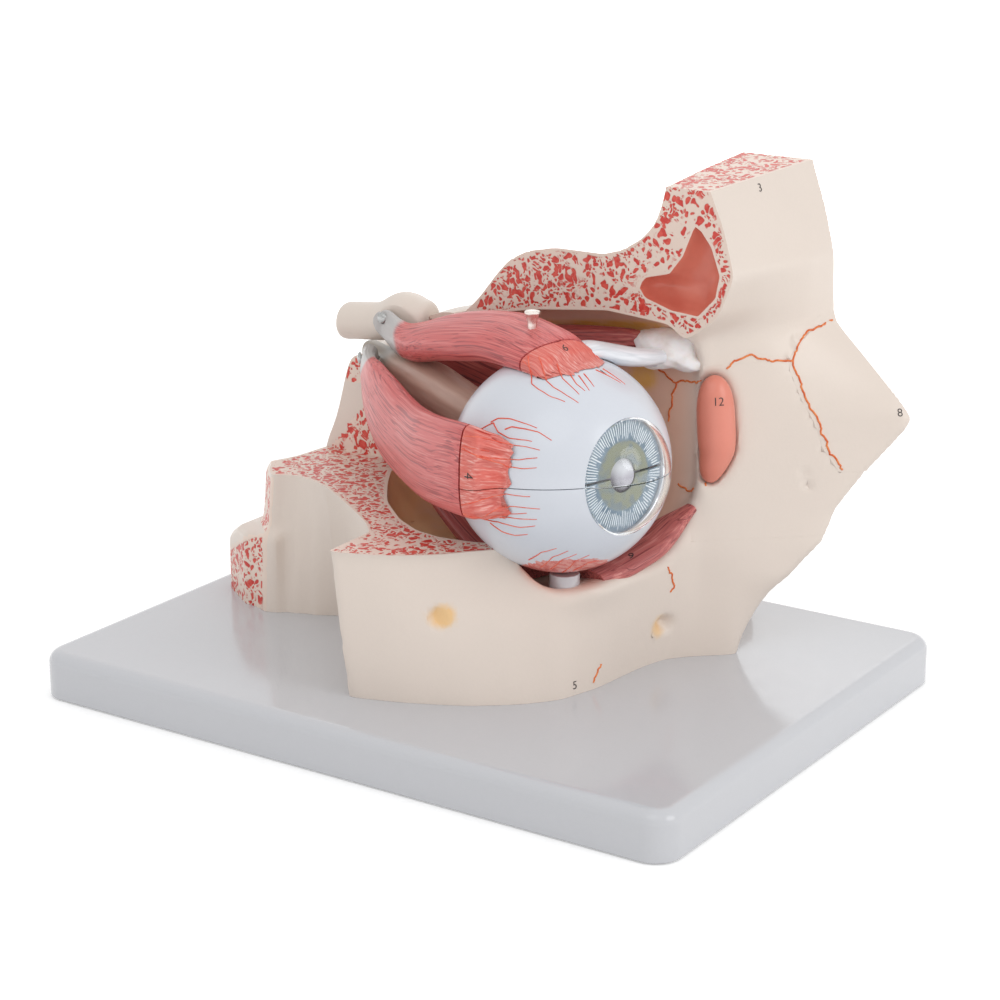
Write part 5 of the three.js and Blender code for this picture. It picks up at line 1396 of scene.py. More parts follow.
def loft_piece(name, places, lay, finish, flesh, sharp=50.0):
    steps, sides = places.shape[:2]
    faces = ring_faces(steps, sides)
    faces = [table[:, ::-1] for table in faces]
    points = places.reshape(-1, 3)
    marks = {"lay": lay.reshape(-1, 3) * 0.001, "flesh": flesh(places).reshape(-1)}
    return closed_piece(name, points, faces, finish, marks, sharp)


# %% Muscle finishes
def muscle_finish(name, flesh, groove, light, tendon, fineness=1.0, blush=None):
    material, tree, shader = new_material(name, Roughness=0.42, Coat_Weight=0.12, Coat_Roughness=0.25)
    inputs = {"Place": attribute(tree, "lay", "Vector"), "Flesh": flesh, "Groove": groove, "Light": light,
              "Fineness": fineness}
    fibre = use_group(tree, fibre_group, inputs)
    streak = noise(tree, attribute(tree, "lay", "Vector"), 160.0, 2.0)
    grey = use_group(tree, cast_group, {"Colour": tendon, "Drift": 0.08, "Size": 60.0})
    border = calc(tree, "ADD", attribute(tree, "flesh"),
                  calc(tree, "MULTIPLY", calc(tree, "SUBTRACT", streak, 0.5), 0.25))
    share = fade(tree, border, 0.15, 0.85)
    flesh_colour = fibre["Colour"]
    if blush:
        patches = noise(tree, attribute(tree, "lay", "Vector"), 95.0, 3.0)
        flesh_colour = mix_colour(tree, fade(tree, patches, 0.46, 0.62, 0.0, 0.5), flesh_colour, blush)
    tree.links.new(mix_colour(tree, share, grey["Colour"], flesh_colour), shader["Base Color"])
    height = calc(tree, "MULTIPLY", fibre["Height"], share)
    set_bump(tree, shader, height, 0.3, 0.0004)
    return material


rose_muscle = muscle_finish("rose muscle", colour(208, 96, 94), colour(146, 44, 48), colour(224, 136, 130),
                            colour(188, 184, 182))
end_muscle = muscle_finish("muscle end", colour(222, 124, 114), colour(194, 80, 72), colour(240, 190, 180),
                           colour(188, 184, 182), 1.0, colour(222, 88, 70))
lower_muscle = muscle_finish("lower muscle", colour(188, 100, 96), colour(112, 40, 44),
                             colour(218, 144, 136),
                             colour(226, 196, 186), 1.0)
dark_muscle = muscle_finish("dark muscle", colour(172, 80, 76), colour(104, 36, 38), colour(196, 116, 106),
                            colour(186, 178, 170))
nerve_paint, tree, shader = new_material("nerve paint", Roughness=0.4, Coat_Weight=0.15,
                                         Coat_Roughness=0.25)
lay = attribute(tree, "lay", "Vector")
stretched = vector_calc(tree, "MULTIPLY", lay, (1, 1, 0.1))
streaks = noise(tree, stretched, 420.0, 3.0)
tones = mix_colour(tree, fade(tree, streaks, 0.3, 0.7), colour(190, 156, 140), colour(206, 176, 160))
brown = mix_colour(tree, attribute(tree, "flesh"), colour(184, 176, 166), tones)
painted = use_group(tree, cast_group, {"Colour": brown, "Drift": 0.1, "Size": 35.0})
tree.links.new(painted["Colour"], shader["Base Color"])
set_bump(tree, shader, painted["Height"], 0.25, 0.0008)

tendon_white, tree, shader = new_material("tendon white", Roughness=0.3, Coat_Weight=0.3,
                                          Coat_Roughness=0.15)
strand_lines = noise(tree, vector_calc(tree, "MULTIPLY", attribute(tree, "lay", "Vector"), (1, 1, 0.06)),
                     900.0, 2.0)
two_tones(tree, shader, strand_lines, 0.3, 0.7, colour(214, 217, 223), colour(236, 238, 243))
set_bump(tree, shader, strand_lines, 0.25, 0.0003)

pulley_white = mottled_paint("pulley white", colour(226, 216, 212), colour(242, 238, 238), 150.0, 3.0,
                             0.001, Roughness=0.5, Subsurface_Weight=0.15,
                             Subsurface_Scale=0.004)

# %% [markdown]
# The superior rectus hangs on a screw at the orbit's tip and runs over the eyeball. In front of the
# seam its short end is fixed to the white shell. Both come from one loft, cut a little apart, so they
# stay in line. The short end thins out to a ragged edge.

# %% Superior rectus
SUPERIOR_SEAM = (37.6, -25)
SUPERIOR_SEAM_TURN = math.radians(24)
LATERAL_SEAM_X = 29
SEAM_PLAY = 0.8
UP = (0, 0, 1)
SIDEWAYS = (-0.6, -0.8, 0)
px, py, pz = SUPERIOR_PIVOT
SUPERIOR_STATIONS = [
    ((px - 4.6, py + 0.3, pz), 2.4, 3.6, 0), ((px - 3, py + 0.2, pz - 1.2), 3.4, 8.5, 0),
    ((px + 0.5, py - 0.2, pz - 2.8), 3.9, 11.5, 0), ((-52.5, 17.2, 120.8), 7, 12.2, 4),
    ((-45, 13.6, 120.4), 12, 12, 10), ((-35, 9.6, 122.3), 18, 13, 18), ((-20, 3.4, 127.2), 22.5, 13.6, 20),
    ((-2, -4.2, 131.6), 25, 13.4, 20), ((15, -11.2, 134.4), 26, 12.4, 16), ((35, -20, 134.3), 26, 10, 12),
    ((45, -21.8, 131.6), 27.5, 7.0, 6), ((54, -23, 126.8), 28, 3.4, 2), ((62, -24.5, 120.5), 26, 1.6, 0),
]
SUPERIOR_FRINGE = [(0, 20), (0, -60), (33, -60), (36, -38), (47, -33.8), (52.3, -28.6), (55.6, -19),
                   (54.3, -10), (48, -2), (44, 20)]
LATERAL_FRINGE = [(0, 60), (0, 130), (36, 130), (40, 117), (46, 112), (44.5, 103), (47.5, 99), (42.5, 92.5),
                  (45.5, 88), (43, 83), (36, 60)]


def superior_seam(places):
    """Distance beyond the seam's plane."""
    across = (places[..., 0] - SUPERIOR_SEAM[0]) * math.cos(SUPERIOR_SEAM_TURN)
    return across - (places[..., 1] - SUPERIOR_SEAM[1]) * math.sin(SUPERIOR_SEAM_TURN)


def superior_flesh(places):
    return ease((places[..., 0] + 0.35 * (places[..., 2] - 120) + 52) / 10)


def ragged(sides, depth, seed, smooth=3):
    """An uneven end: how far each strand stops short of the fringe, in millimetres."""
    rng = np.random.default_rng(seed)
    wave = rng.random(sides)
    wave = np.convolve(np.tile(wave, 3), np.ones(smooth) / smooth, "same")[sides:2 * sides]
    wave = (wave - wave.min()) / (wave.max() - wave.min())
    return depth * wave


def parted(places, lay, beyond_seam, fringe_distance, depth, seed):
    """The belly behind the seam, and the end between the seam and the fringe."""
    steps, sides = places.shape[:2]
    belly = trimmed(places, lay, 0, reach_of(beyond_seam(places), -SEAM_PLAY / 2))
    start = reach_of(beyond_seam(places), SEAM_PLAY / 2)
    stop = reach_of(fringe_distance(places), 0)
    length = np.linalg.norm(np.diff(places, axis=0), axis=-1).sum(axis=0)
    stop = np.maximum(stop - ragged(sides, depth, seed) / length, start + 0.01)
    end, end_lay = trimmed(places, lay, start, stop)
    from_eye = end - EYE
    reach = np.linalg.norm(from_eye, axis=-1, keepdims=True)
    floor = GLOBE_RADIUS + 0.25
    thin = 1 - 0.88 * ease((np.linspace(0, 1, len(end)) - 0.3) / 0.62)[:, None, None]
    end = EYE + from_eye / reach * (floor + np.maximum(reach - floor, 0) * thin)
    return belly, (end, end_lay)


places, lay = strands(SUPERIOR_STATIONS, UP, 96, 240, 0.45)
places, lay = ridged(places, lay, 0.16, 3, 1)
superior_belly, superior_tip = parted(
    places, lay, superior_seam, lambda p: outline_distance(SUPERIOR_FRINGE, p[..., 0], p[..., 1]), 4.5, 5)
superior = loft_piece("superior_rectus_belly", *superior_belly, rose_muscle, superior_flesh)
fit(superior, "superior_rectus", ["superior_rectus"])
superior_end = loft_piece("superior_rectus_end", *superior_tip, end_muscle, superior_flesh)
fit(superior_end, "upper_shell", ["superior_rectus_insertion"])

# %% Lateral rectus
LATERAL_PIVOT = np.array([-69, 22.5, 108.8])
px, py, pz = LATERAL_PIVOT
LATERAL_STATIONS = [
    ((px - 3.2, py + 2.6, pz + 0.4), 7.5, 2.0, 0), ((px - 2, py + 1.6, pz + 0.2), 9.2, 5.0, 0),
    ((px, py, pz - 0.2), 10, 6.0, 0), ((-66.5, 17.9, 107.2), 12, 6.0, 0),
    ((-62, 12.6, 104.9), 16.5, 6.2, 0), ((-54, 5, 101.4), 26, 8, 0), ((-39, -7, 97), 32, 10, 0),
    ((-18, -23, 95), 30.5, 11, 0), ((3, -40, 96.8), 31, 11, 0), ((28, -56, 100.6), 31.4, 10, 0),
    ((37, -58.2, 100.8), 31.4, 6.6, 0), ((45, -57.4, 100.2), 31, 3.6, 0), ((52, -55, 99.8), 29, 1.6, 0),
]


def lateral_flesh(places):
    return ease((places[..., 0] + 67.5 + 0.9 * (107 - places[..., 2])) / 6)


places, lay = strands(LATERAL_STATIONS, SIDEWAYS, 96, 240, 0.45)
places, lay = ridged(places, lay, 0.16, 3, 2)
lateral_belly, lateral_tip = parted(
    places, lay, lambda p: p[..., 0] - LATERAL_SEAM_X,
    lambda p: outline_distance(LATERAL_FRINGE, p[..., 0], p[..., 2]), 6.0, 9)
lateral = loft_piece("lateral_rectus_belly", *lateral_belly, rose_muscle, lateral_flesh)
fit(lateral, "lateral_rectus", ["lateral_rectus"])


def halved(name, source, upper, seam=0.15):
    """The part of a piece above or below the seam between the eyeball's halves."""
    work = bmesh.new()
    work.from_mesh(source.data)
    normal = EYE_TURN @ np.array([0, 0, 1.0])
    spot = (EYE + normal * (seam if upper else -seam)) * 0.001
    everything = work.verts[:] + work.edges[:] + work.faces[:]
    bmesh.ops.bisect_plane(work, geom=everything, plane_co=spot, plane_no=normal, dist=1e-7,
                           clear_inner=upper, clear_outer=not upper)
    edges = [edge for edge in work.edges if edge.is_boundary]
    bmesh.ops.holes_fill(work, edges=edges, sides=0)
    bmesh.ops.recalc_face_normals(work, faces=work.faces)
    mesh = source.data.copy()
    mesh.name = name
    work.to_mesh(mesh)
    work.free()
    mesh.set_sharp_from_angle(angle=math.radians(50))
    return in_scene(name, mesh)


whole = loft_piece("lateral_whole", *lateral_tip, end_muscle, lateral_flesh)
for upper, half in ((True, "upper"), (False, "lower")):
    part = halved(f"lateral_rectus_end_{half}", whole, upper)
    fit(part, "upper_shell" if upper else "eyeball", [f"lateral_rectus_insertion_{half}"])
bpy.data.objects.remove(whole)

# %% [markdown]
# The other muscles and the optic nerve stay in the orbit. They are lofted in the same way. The
# superior oblique ends at a small pulley, from which its white tendon turns back to the eyeball.

# %% Optic nerve and the inner muscles
NERVE = [
    ((6, -6.8, 101.5), 15, 15, 0), ((-12, -1, 104.5), 16, 16, 0), ((-32, 9, 106.5), 17, 17, 0),
    ((-52, 20, 107), 12, 11.4, 0), ((-66, 30.6, 106.8), 7.5, 7.5, 0), ((-80, 38, 107), 8, 8, 0),
]
MEDIAL_RECTUS = [
    ((-70, 41.5, 106), 9, 5, 0), ((-58, 35.5, 107.5), 13, 6, 0), ((-40, 33.5, 107), 20, 8, 0),
    ((-14, 30, 103), 25, 9, 0), ((8, 25, 100), 27, 8, 0), ((26, 20.5, 98), 26, 6, 0),
]
INFERIOR_RECTUS = [
    ((-74, 30, 93), 8, 5, 0), ((-58, 22.5, 89), 13, 6, 0), ((-38, 14, 79.5), 20, 7, 0),
    ((-12, 3, 66), 25, 8, 0), ((12, -8, 57.5), 27, 8, 0), ((31, -15, 55.5), 26, 6, 0),
]
SUPERIOR_OBLIQUE = [
    ((-70, 39, 115.5), 7, 5, 0), ((-52, 38, 117), 9, 6.5, 0), ((-20, 38.5, 119), 11, 8, 0),
    ((12, 38.5, 122.5), 13, 8, 0), ((34, 36.5, 125.5), 11, 6.5, 0), ((42, 35, 126.5), 8, 5, 0),
]
INFERIOR_OBLIQUE = [
    ((49.5, -13, 55.5), 14, 5, 0), ((53, 0, 57), 18, 6.5, 0), ((57.5, 12, 61), 17, 6.5, 0),
    ((60.5, 23, 66.5), 12, 5.4, 0), ((63.5, 32, 71), 4.5, 3, 0),
]
OBLIQUE_TENDON = [
    ((50.5, ROOF_CUT_Y - 0.6, 125), 9, 5.4, 0), ((50, 16, 127), 10, 6.4, 0), ((48, 6, 129.6), 12, 7, 0),
    ((44.5, -3.6, 132.8), 14, 6.0, 0), ((41.5, -10.5, 133.6), 14, 3.2, 0),
]
INWARDS = (0, 1, 0)


def soft_part(name, stations, way, sides, steps, lift, finish, flesh, node, body, seed, depth=0.12):
    places, lay = strands(stations, way, sides, steps, lift)
    places, lay = ridged(places, lay, depth, 3, seed)
    if lift is not None:
        places = off_globe(places, lift)
    piece = loft_piece(name, places, lay, finish, flesh)
    return fit(piece, body, [node])


soft_part("optic_nerve_cord", NERVE, UP, 64, 90, 0.3, nerve_paint, lambda p: ease((p[..., 0] + 66) / 16),
          "optic_nerve", "skull", 11, 0.08)
soft_part("medial_rectus_belly", MEDIAL_RECTUS, INWARDS, 72, 120, 0.5, dark_muscle,
          lambda p: ease((p[..., 0] + 58) / 10), "medial_rectus", "skull", 12)
soft_part("inferior_rectus_belly", INFERIOR_RECTUS, UP, 72, 120, 0.5, dark_muscle,
          lambda p: ease((p[..., 0] + 64) / 10), "inferior_rectus", "skull", 13)
soft_part("superior_oblique_belly", SUPERIOR_OBLIQUE, INWARDS, 64, 120, None, dark_muscle,
          lambda p: ease((p[..., 0] + 60) / 10) * ease((44 - p[..., 0]) / 4), "superior_oblique", "skull",
          14)
soft_part("inferior_oblique_belly", INFERIOR_OBLIQUE, UP, 72, 90, 0.6, lower_muscle,
          lambda p: ease((78 - p[..., 2]) / 4), "inferior_oblique", "skull", 15)
soft_part("oblique_tendon_band", OBLIQUE_TENDON, UP, 48, 60, 0.3, tendon_white, lambda p: 0 * p[..., 0],
          "superior_oblique_tendon", "upper_shell", 16, 0.1)


# %% Pulley of the superior oblique
PULLEY_WISPS = [
    ((48.5, 34.5, 125.8), (8.5, 6.5, 5.6)), ((42.5, 37.5, 128.2), (6.5, 4.5, 2.8)),
    ((54.5, 38.5, 130.6), (8.0, 4.0, 2.4)), ((55.5, 38, 122.6), (5.5, 5.0, 2.6)),
    ((58.5, 38, 120.4), (3.8, 3.4, 2.0)), ((47, 31.5, 122.8), (5.0, 4.0, 3.4)),
    ((54.5, 38.5, 126.4), (5.5, 4.5, 5.0)),
]


def pulley_field(x, y, z):
    shape = 50.0
    for centre, radii in PULLEY_WISPS:
        shape = soft_min(shape, ball_distance(x, y, z, centre, radii), 3.5)
    ripple = 0.14 * np.sin(x * 0.9 + 0.4 * z) * np.sin(z * 1.5 + 0.3 * x)
    return shape + ripple


pulley_axes = [np.arange(a, b, 0.7) for a, b in ((32.1, 68), (20.3, 50), (112.2, 139))]
x, y, z = np.meshgrid(*pulley_axes, indexing="ij")
vertices, faces = contour([pulley_field(x, y, z), flat(0, -1, 0, -(ROOF_CUT_Y + 0.1))],
                          lambda v: np.maximum(v[0], v[1]), pulley_axes)
pulley = piece_from("trochlea_body", vertices, faces, pulley_white, {"lay": vertices * 0.001})
fit(pulley, "skull", ["trochlea"])

# %% [markdown]
# Fine lines are painted on the model: orange-red sutures where skull bones meet, and small vessels
# that leave the muscle ends and run onto the white of the eye. Each starts as a few listed points.
# Geometry Nodes then bends it a little, lays it on the surface below and gives it a thickness.


# %% Painted lines
def make_line_tree():
    inputs = [("Geometry", "NodeSocketGeometry", None), ("Surface", "NodeSocketObject", None),
              ("Radius", "NodeSocketFloat", 0.0003), ("Step", "NodeSocketFloat", 0.0008),
              ("Wander", "NodeSocketFloat", 0.001), ("Wander Scale", "NodeSocketFloat", 400.0),
              ("Thin End", "NodeSocketFloat", 0.0), ("Centre", "NodeSocketVector", (0, 0, 0)),
              ("Reach", "NodeSocketFloat", 0.0), ("Finish", "NodeSocketMaterial", None)]
    tree, given, made = new_group("painted line", inputs, [("Geometry", "NodeSocketGeometry")],
                                  "GeometryNodeTree")
    path = add_node(tree, "GeometryNodeMeshToCurve", {"Mesh": given["Geometry"]}).outputs["Curve"]
    even = add_node(tree, "GeometryNodeResampleCurve", {"Curve": path, "Length": given["Step"]},
                    mode="LENGTH")
    place = add_node(tree, "GeometryNodeInputPosition").outputs[0]
    wave = add_node(tree, "ShaderNodeTexNoise",
                    {"Vector": place, "Scale": given["Wander Scale"], "Detail": 2.0})
    centred = vector_calc(tree, "SUBTRACT", wave.outputs["Color"], (0.5, 0.5, 0.5))
    offset = vector_calc(tree, "SCALE", centred, scale=given["Wander"])
    bent = add_node(tree, "GeometryNodeSetPosition", {"Geometry": even.outputs[0], "Offset": offset})
    surface = add_node(tree, "GeometryNodeObjectInfo", {"Object": given["Surface"]},
                       transform_space="RELATIVE")
    near = add_node(tree, "GeometryNodeProximity", {0: surface.outputs["Geometry"]}, target_element="FACES")
    inwards = vector_calc(tree, "SUBTRACT", given["Centre"], place)
    ray = add_node(tree, "GeometryNodeRaycast",
                   {"Target Geometry": surface.outputs["Geometry"], "Ray Length": given["Reach"],
                    "Ray Direction": inwards}).outputs
    below = add_node(tree, "GeometryNodeSwitch",
                     {"Switch": ray["Is Hit"], "False": near.outputs["Position"],
                      "True": ray["Hit Position"]}, input_type="VECTOR").outputs[0]
    laid = add_node(tree, "GeometryNodeSetPosition", {"Geometry": bent.outputs[0], "Position": below})
    share = add_node(tree, "GeometryNodeSplineParameter").outputs["Factor"]
    width = calc(tree, "SUBTRACT", 1.0, calc(tree, "MULTIPLY", share, given["Thin End"]))
    ring = add_node(tree, "GeometryNodeCurvePrimitiveCircle", {"Resolution": 6, "Radius": given["Radius"]})
    tube = add_node(tree, "GeometryNodeCurveToMesh",
                    {"Curve": laid.outputs[0], "Profile Curve": ring.outputs[0],
                     "Scale": width, "Fill Caps": True})
    real = add_node(tree, "GeometryNodeRealizeInstances", {0: tube.outputs[0]})
    dressed = add_node(tree, "GeometryNodeSetMaterial",
                       {"Geometry": real.outputs[0], "Material": given["Finish"]})
    tree.links.new(dressed.outputs[0], made["Geometry"])
    return tree


line_tree = make_line_tree()
suture_paint = mottled_paint("suture paint", colour(214, 96, 42), colour(234, 138, 78), 600.0, 2.0, 0.0002,
                             Roughness=0.5)
vessel_paint = mottled_paint("vessel paint", colour(226, 84, 60), colour(236, 118, 94), 400.0, 2.0, 0.0002,
                             Roughness=0.4)


def mesh_object(name, points, edges, faces):
    mesh = bpy.data.meshes.new(name)
    mesh.from_pydata([tuple(point) for point in points], edges, faces)
    return in_scene(name, mesh)


def lay_lines(name, lines, ground, finish, body, radius, wander, wander_scale, thin_end, reach=0.0):
    """Lays lines of points, in millimetres, on the pieces in ground, as one mesh of thin tubes."""
    points, faces = [], []
    for piece in ground:
        first = len(points)
        points += [tuple(vertex.co) for vertex in piece.data.vertices]
        faces += [[first + index for index in face.vertices] for face in piece.data.polygons]
    surface = mesh_object("ground", points, [], faces)
    points, edges = [], []
    for line in lines:
        first = len(points)
        points += [np.array(point) * 0.001 for point in line]
        edges += [(first + n, first + n + 1) for n in range(len(line) - 1)]
    guide = mesh_object("guide", points, edges, [])
    modifier = guide.modifiers.new("painted line", "NODES")
    modifier.node_group = line_tree
    values = {"Surface": surface, "Radius": radius * 0.001, "Wander": wander * 0.001,
              "Wander Scale": wander_scale, "Thin End": thin_end, "Finish": finish,
              "Centre": tuple(float(value) * 0.001 for value in EYE), "Reach": reach * 0.001}
    for item in line_tree.interface.items_tree:
        if item.in_out == "INPUT" and item.name in values:
            modifier[item.identifier] = values[item.name]
    solved = guide.evaluated_get(bpy.context.evaluated_depsgraph_get())
    mesh = bpy.data.meshes.new_from_object(solved)
    mesh.name = name
    mesh.shade_smooth()
    piece = in_scene(name, mesh)
    for helper in (guide, surface):
        helper_mesh = helper.data
        bpy.data.objects.remove(helper)
        bpy.data.meshes.remove(helper_mesh)
    print(name, len(lines), "lines", len(mesh.polygons), "faces")
    return fit(piece, body, [])


SUTURES = [
    [(70.3, 43.5, 119.8), (70.9, 44.4, 121.8), (76.2, 50.5, 124), (79.8, 54.3, 121.7), (87, 60.7, 121.7)],
    [(87, 60.7, 121.7), (86.8, 63.1, 125.5), (87.7, 70.1, 130.3), (90.6, 82, 132)],
    [(87, 60.7, 121.7), (88.4, 59.7, 118.9), (92, 61, 109), (97.1, 62.5, 99.3), (100.3, 62.2, 91.8),
     (104.9, 66.4, 83.1)],
    [(43.3, 41.6, 116.7), (51.4, 40.7, 112.9), (62.4, 39.4, 115.2)],
    [(51.4, 40.7, 112.6), (49.2, 41, 104.7), (48.5, 41.1, 97.8)],
    [(53.4, 39.8, 76), (59.9, 37.8, 74.3), (67.2, 35.3, 78.7)],
    [(57, 17.7, 52.9), (60.1, 18.7, 52.8), (63.4, 21.3, 45.7), (63, 19.6, 42.7)],
    [(56.1, -15.6, 25.9), (55, -19.3, 20.2)],
]
lay_lines("suture_lines", SUTURES, [cheek, medial, frontal, nasal], suture_paint, "skull",
          0.38, 3.6, 330.0, 0.0)


def on_globe(turn, rise, lift):
    """A place above the eyeball, by its turn and rise in degrees."""
    turn, rise = math.radians(turn), math.radians(rise)
    way = np.array([math.cos(rise) * math.cos(turn), math.cos(rise) * math.sin(turn), math.sin(rise)])
    return EYE + way * (GLOBE_RADIUS + lift)


UPPER_VESSELS = [
    [(-105, 69), (-87, 58), (-78, 55), (-66, 51), (-55, 48)],
    [(-91, 71), (-73, 61), (-65, 57), (-54, 52), (-45, 47)],
    [(-65, 72), (-56, 63), (-49, 58), (-43, 52)], [(-47, 66), (-43, 59), (-37, 54)],
    [(-37, 65), (-35, 59), (-33, 54)], [(-29, 66), (-28, 61), (-27, 56)], [(-7, 67), (-1, 61), (5, 54)],
    [(6, 66), (7, 59), (9, 52)], [(-127, 69), (-107, 66), (-90, 63)],
    [(-104, 32), (-100, 35), (-91, 36), (-81, 35), (-72, 33)],
    [(-92, 30), (-88, 32), (-81, 32), (-71, 31), (-63, 27)],
    [(-102, 32), (-113, 25), (-112, 19), (-104, 18), (-92, 18)],
    [(-102, 32), (-96, 28), (-88, 26), (-74, 26)],
    [(-111, 18), (-102, 22), (-92, 23), (-80, 23), (-69, 22)],
    [(-103, 17), (-92, 15), (-80, 16), (-70, 18)],
    [(-95, 15), (-85, 12), (-77, 12), (-70, 13)],
]
LOWER_VESSELS = [
    [(-114, -13), (-101, -6), (-86, -2), (-73, -2)],
    [(-118, -19), (-111, -13), (-103, -11), (-96, -13), (-89, -9), (-81, -8), (-68, -8)],
    [(-115, -20), (-100, -16), (-87, -13), (-75, -11)], [(-119, -21), (-101, -19), (-89, -15), (-70, -14)],
    [(-105, -20), (-93, -19), (-80, -20), (-71, -18)], [(-99, -21), (-92, -25), (-84, -26), (-76, -24)],
    [(-75, -55), (-63, -41), (-53, -35)], [(-67, -57), (-56, -43), (-47, -38)],
    [(-55, -65), (-47, -45), (-38, -40)],
    [(-81, -46), (-70, -37), (-60, -33)], [(-44, -60), (-36, -49), (-26, -47)],
]
VESSEL_LIFT = 12
VESSEL_RADIUS = 0.27
VESSEL_WANDER = 0.8
VESSEL_WANDER_SCALE = 120.0
VESSEL_THIN_END = 0.5
VESSEL_REACH = 16
for body, half, vessels in (("upper_shell", "upper", UPPER_VESSELS), ("eyeball", "lower", LOWER_VESSELS)):
    lines = [[on_globe(*point, VESSEL_LIFT) for point in vessel] for vessel in vessels]
    ground = [bpy.data.objects[f"sclera_{half}_shell"], bpy.data.objects[f"lateral_rectus_end_{half}"]]
    if half == "upper":
        ground.append(superior_end)
    lay_lines(f"vessels_{half}", lines, ground, vessel_paint, body, VESSEL_RADIUS,
              VESSEL_WANDER, VESSEL_WANDER_SCALE, VESSEL_THIN_END, VESSEL_REACH)

# %% [markdown]
# Such a model carries small numbers that a key explains. Here they are plain counting numbers. Each
# is a thin slab of ink: text is made a mesh, then every vertex is dropped onto the surface.

# %% Small numbers
ink, tree, shader = new_material("ink", Roughness=0.6)
worn = noise(tree, object_place(tree), 900.0, 2.0)
tree.links.new(mix_colour(tree, worn, colour(34, 30, 30), colour(70, 62, 60)), shader["Base Color"])


INK_INSET = 0.00004
INK_DEPTH = 0.00006
INK_LIFT = 0.00007
DROP_HEIGHT = 0.006
DROP_REACH = 0.02


def number_mark(text, spot, ground, body, size=4.2, turn=0):
    """A small number on the piece, nearest to spot in millimetres, turned by degrees on the surface."""
    data = bpy.data.curves.new(f"number_{text}", "FONT")
    data.body = text
    data.size = size * 0.001
    data.offset = -INK_INSET
    data.extrude = INK_DEPTH
    data.align_x = "CENTER"
    data.align_y = "CENTER"
    sketch = in_scene(f"number_{text}_sketch", data)
    solved = sketch.evaluated_get(bpy.context.evaluated_depsgraph_get())
    mesh = bpy.data.meshes.new_from_object(solved)
    bpy.data.objects.remove(sketch)
    bpy.data.curves.remove(data)
    tree = BVHTree.FromPolygons([vertex.co for vertex in ground.data.vertices],
                                [face.vertices for face in ground.data.polygons])
    place, normal, _, _ = tree.find_nearest(Vector(spot) * 0.001)
    side = Vector((0, 0, 1)).cross(normal).normalized()
    up = normal.cross(side)
    spin = math.radians(turn)
    across, upright = (side * math.cos(spin) + up * math.sin(spin),
                       up * math.cos(spin) - side * math.sin(spin))
    for vertex in mesh.vertices:
        flat_place = place + across * vertex.co.x + upright * vertex.co.y
        hit = tree.ray_cast(flat_place + normal * DROP_HEIGHT, -normal, DROP_REACH)[0]
        vertex.co = (hit or flat_place) + normal * (vertex.co.z + INK_LIFT)
    merge = bmesh.new()
    merge.from_mesh(mesh)
    bmesh.ops.remove_doubles(merge, verts=merge.verts, dist=1e-6)
    bmesh.ops.recalc_face_normals(merge, faces=merge.faces)
    merge.to_mesh(mesh)
    merge.free()
    mesh.materials.clear()
    mesh.materials.append(ink)
    mark = in_scene(f"number_{text}", mesh)
    return fit(mark, body, [])


globe_top = bpy.data.objects["sclera_upper_shell"]
lateral_top = bpy.data.objects["lateral_rectus_end_upper"]
lower_oblique = bpy.data.objects["inferior_oblique_belly"]
number_mark("12", (71, 35.7, 109.7), sac, "skull")
number_mark("3", (75.7, 52.8, 182.5), frontal, "skull")
number_mark("8", (118.7, 81.6, 102.6), nasal, "skull")
number_mark("5", (52.8, -27.2, 21), cheek, "skull")
number_mark("1", (56.8, -17.3, 129.5), globe_top, "upper_shell")
number_mark("4", (33, -62.3, 101.2), lateral_top, "upper_shell", 4.6, -90)
number_mark("6", (43.4, -20.3, 136.7), superior_end, "upper_shell")
number_mark("9", (57.7, 0.7, 60.7), lower_oblique, "skull", 4.6, 20)

# %% [markdown]
# Screws, pin, pegs and post are turned parts. A short list of (height, radius) points gives each its
# profile, with small chamfers where the real ones catch the light.


# %% Turned parts
def turned_part(name, profile, place, finish, axis=(0, 0, 1), sides=40):
    """profile: (distance along the axis, radius) points that start and end on the axis."""
    way = Vector(axis).normalized().to_track_quat("X", "Z").to_matrix()
    turn_matrix = np.array(way)
    return turned_full(name, np.array(profile, float), finish, sides,
                       lambda local: np.asarray(local) @ turn_matrix.T + np.array(place, float))


PIN_PLACE = (27, -15)
PIN_SUNK = 1.2
pin_aside = (PIN_PLACE[0] - EYE[0], PIN_PLACE[1] - EYE[1])
pin_foot = EYE[2] + math.sqrt(GLOBE_RADIUS ** 2 - pin_aside[0] ** 2 - pin_aside[1] ** 2) - PIN_SUNK
pin = turned_part("retaining_pin_turned", [
    (pin_foot, 0), (pin_foot, 1.35), (pin_foot + 0.3, 1.65), (141.8, 1.65), (142.6, 1.72), (145.1, 2.5),
    (145.4, 2.7), (145.95, 2.7), (146.18, 2.5), (146.2, 2.2), (146, 0.7), (145.95, 0)],
                  (*PIN_PLACE, 0), nickel)
fit(pin, "retaining_pin", ["retaining_pin"])

POST_PLACE = (45, -22)
POST_RADIUS = 5.2
post_foot = EYE[2] - GLOBE_RADIUS - 9
post_profile = [(post_foot, 0), (post_foot, 4.9), (post_foot + 0.3, POST_RADIUS)]
for radius in (POST_RADIUS, 5.0, 4.0, 2.5, 1.2, 0):
    offset = (POST_PLACE[0] - EYE[0], POST_PLACE[1] - EYE[1])
    reach = math.sqrt((GLOBE_RADIUS + 0.3) ** 2 - (offset[0] ** 2 + offset[1] ** 2))
    post_profile.append((EYE[2] - reach - (0.5 if radius == POST_RADIUS else 0.1), radius))
post = turned_part("support_post_turned", post_profile, (*POST_PLACE, 0), base_plastic)
fit(post, "skull", ["support_post"])

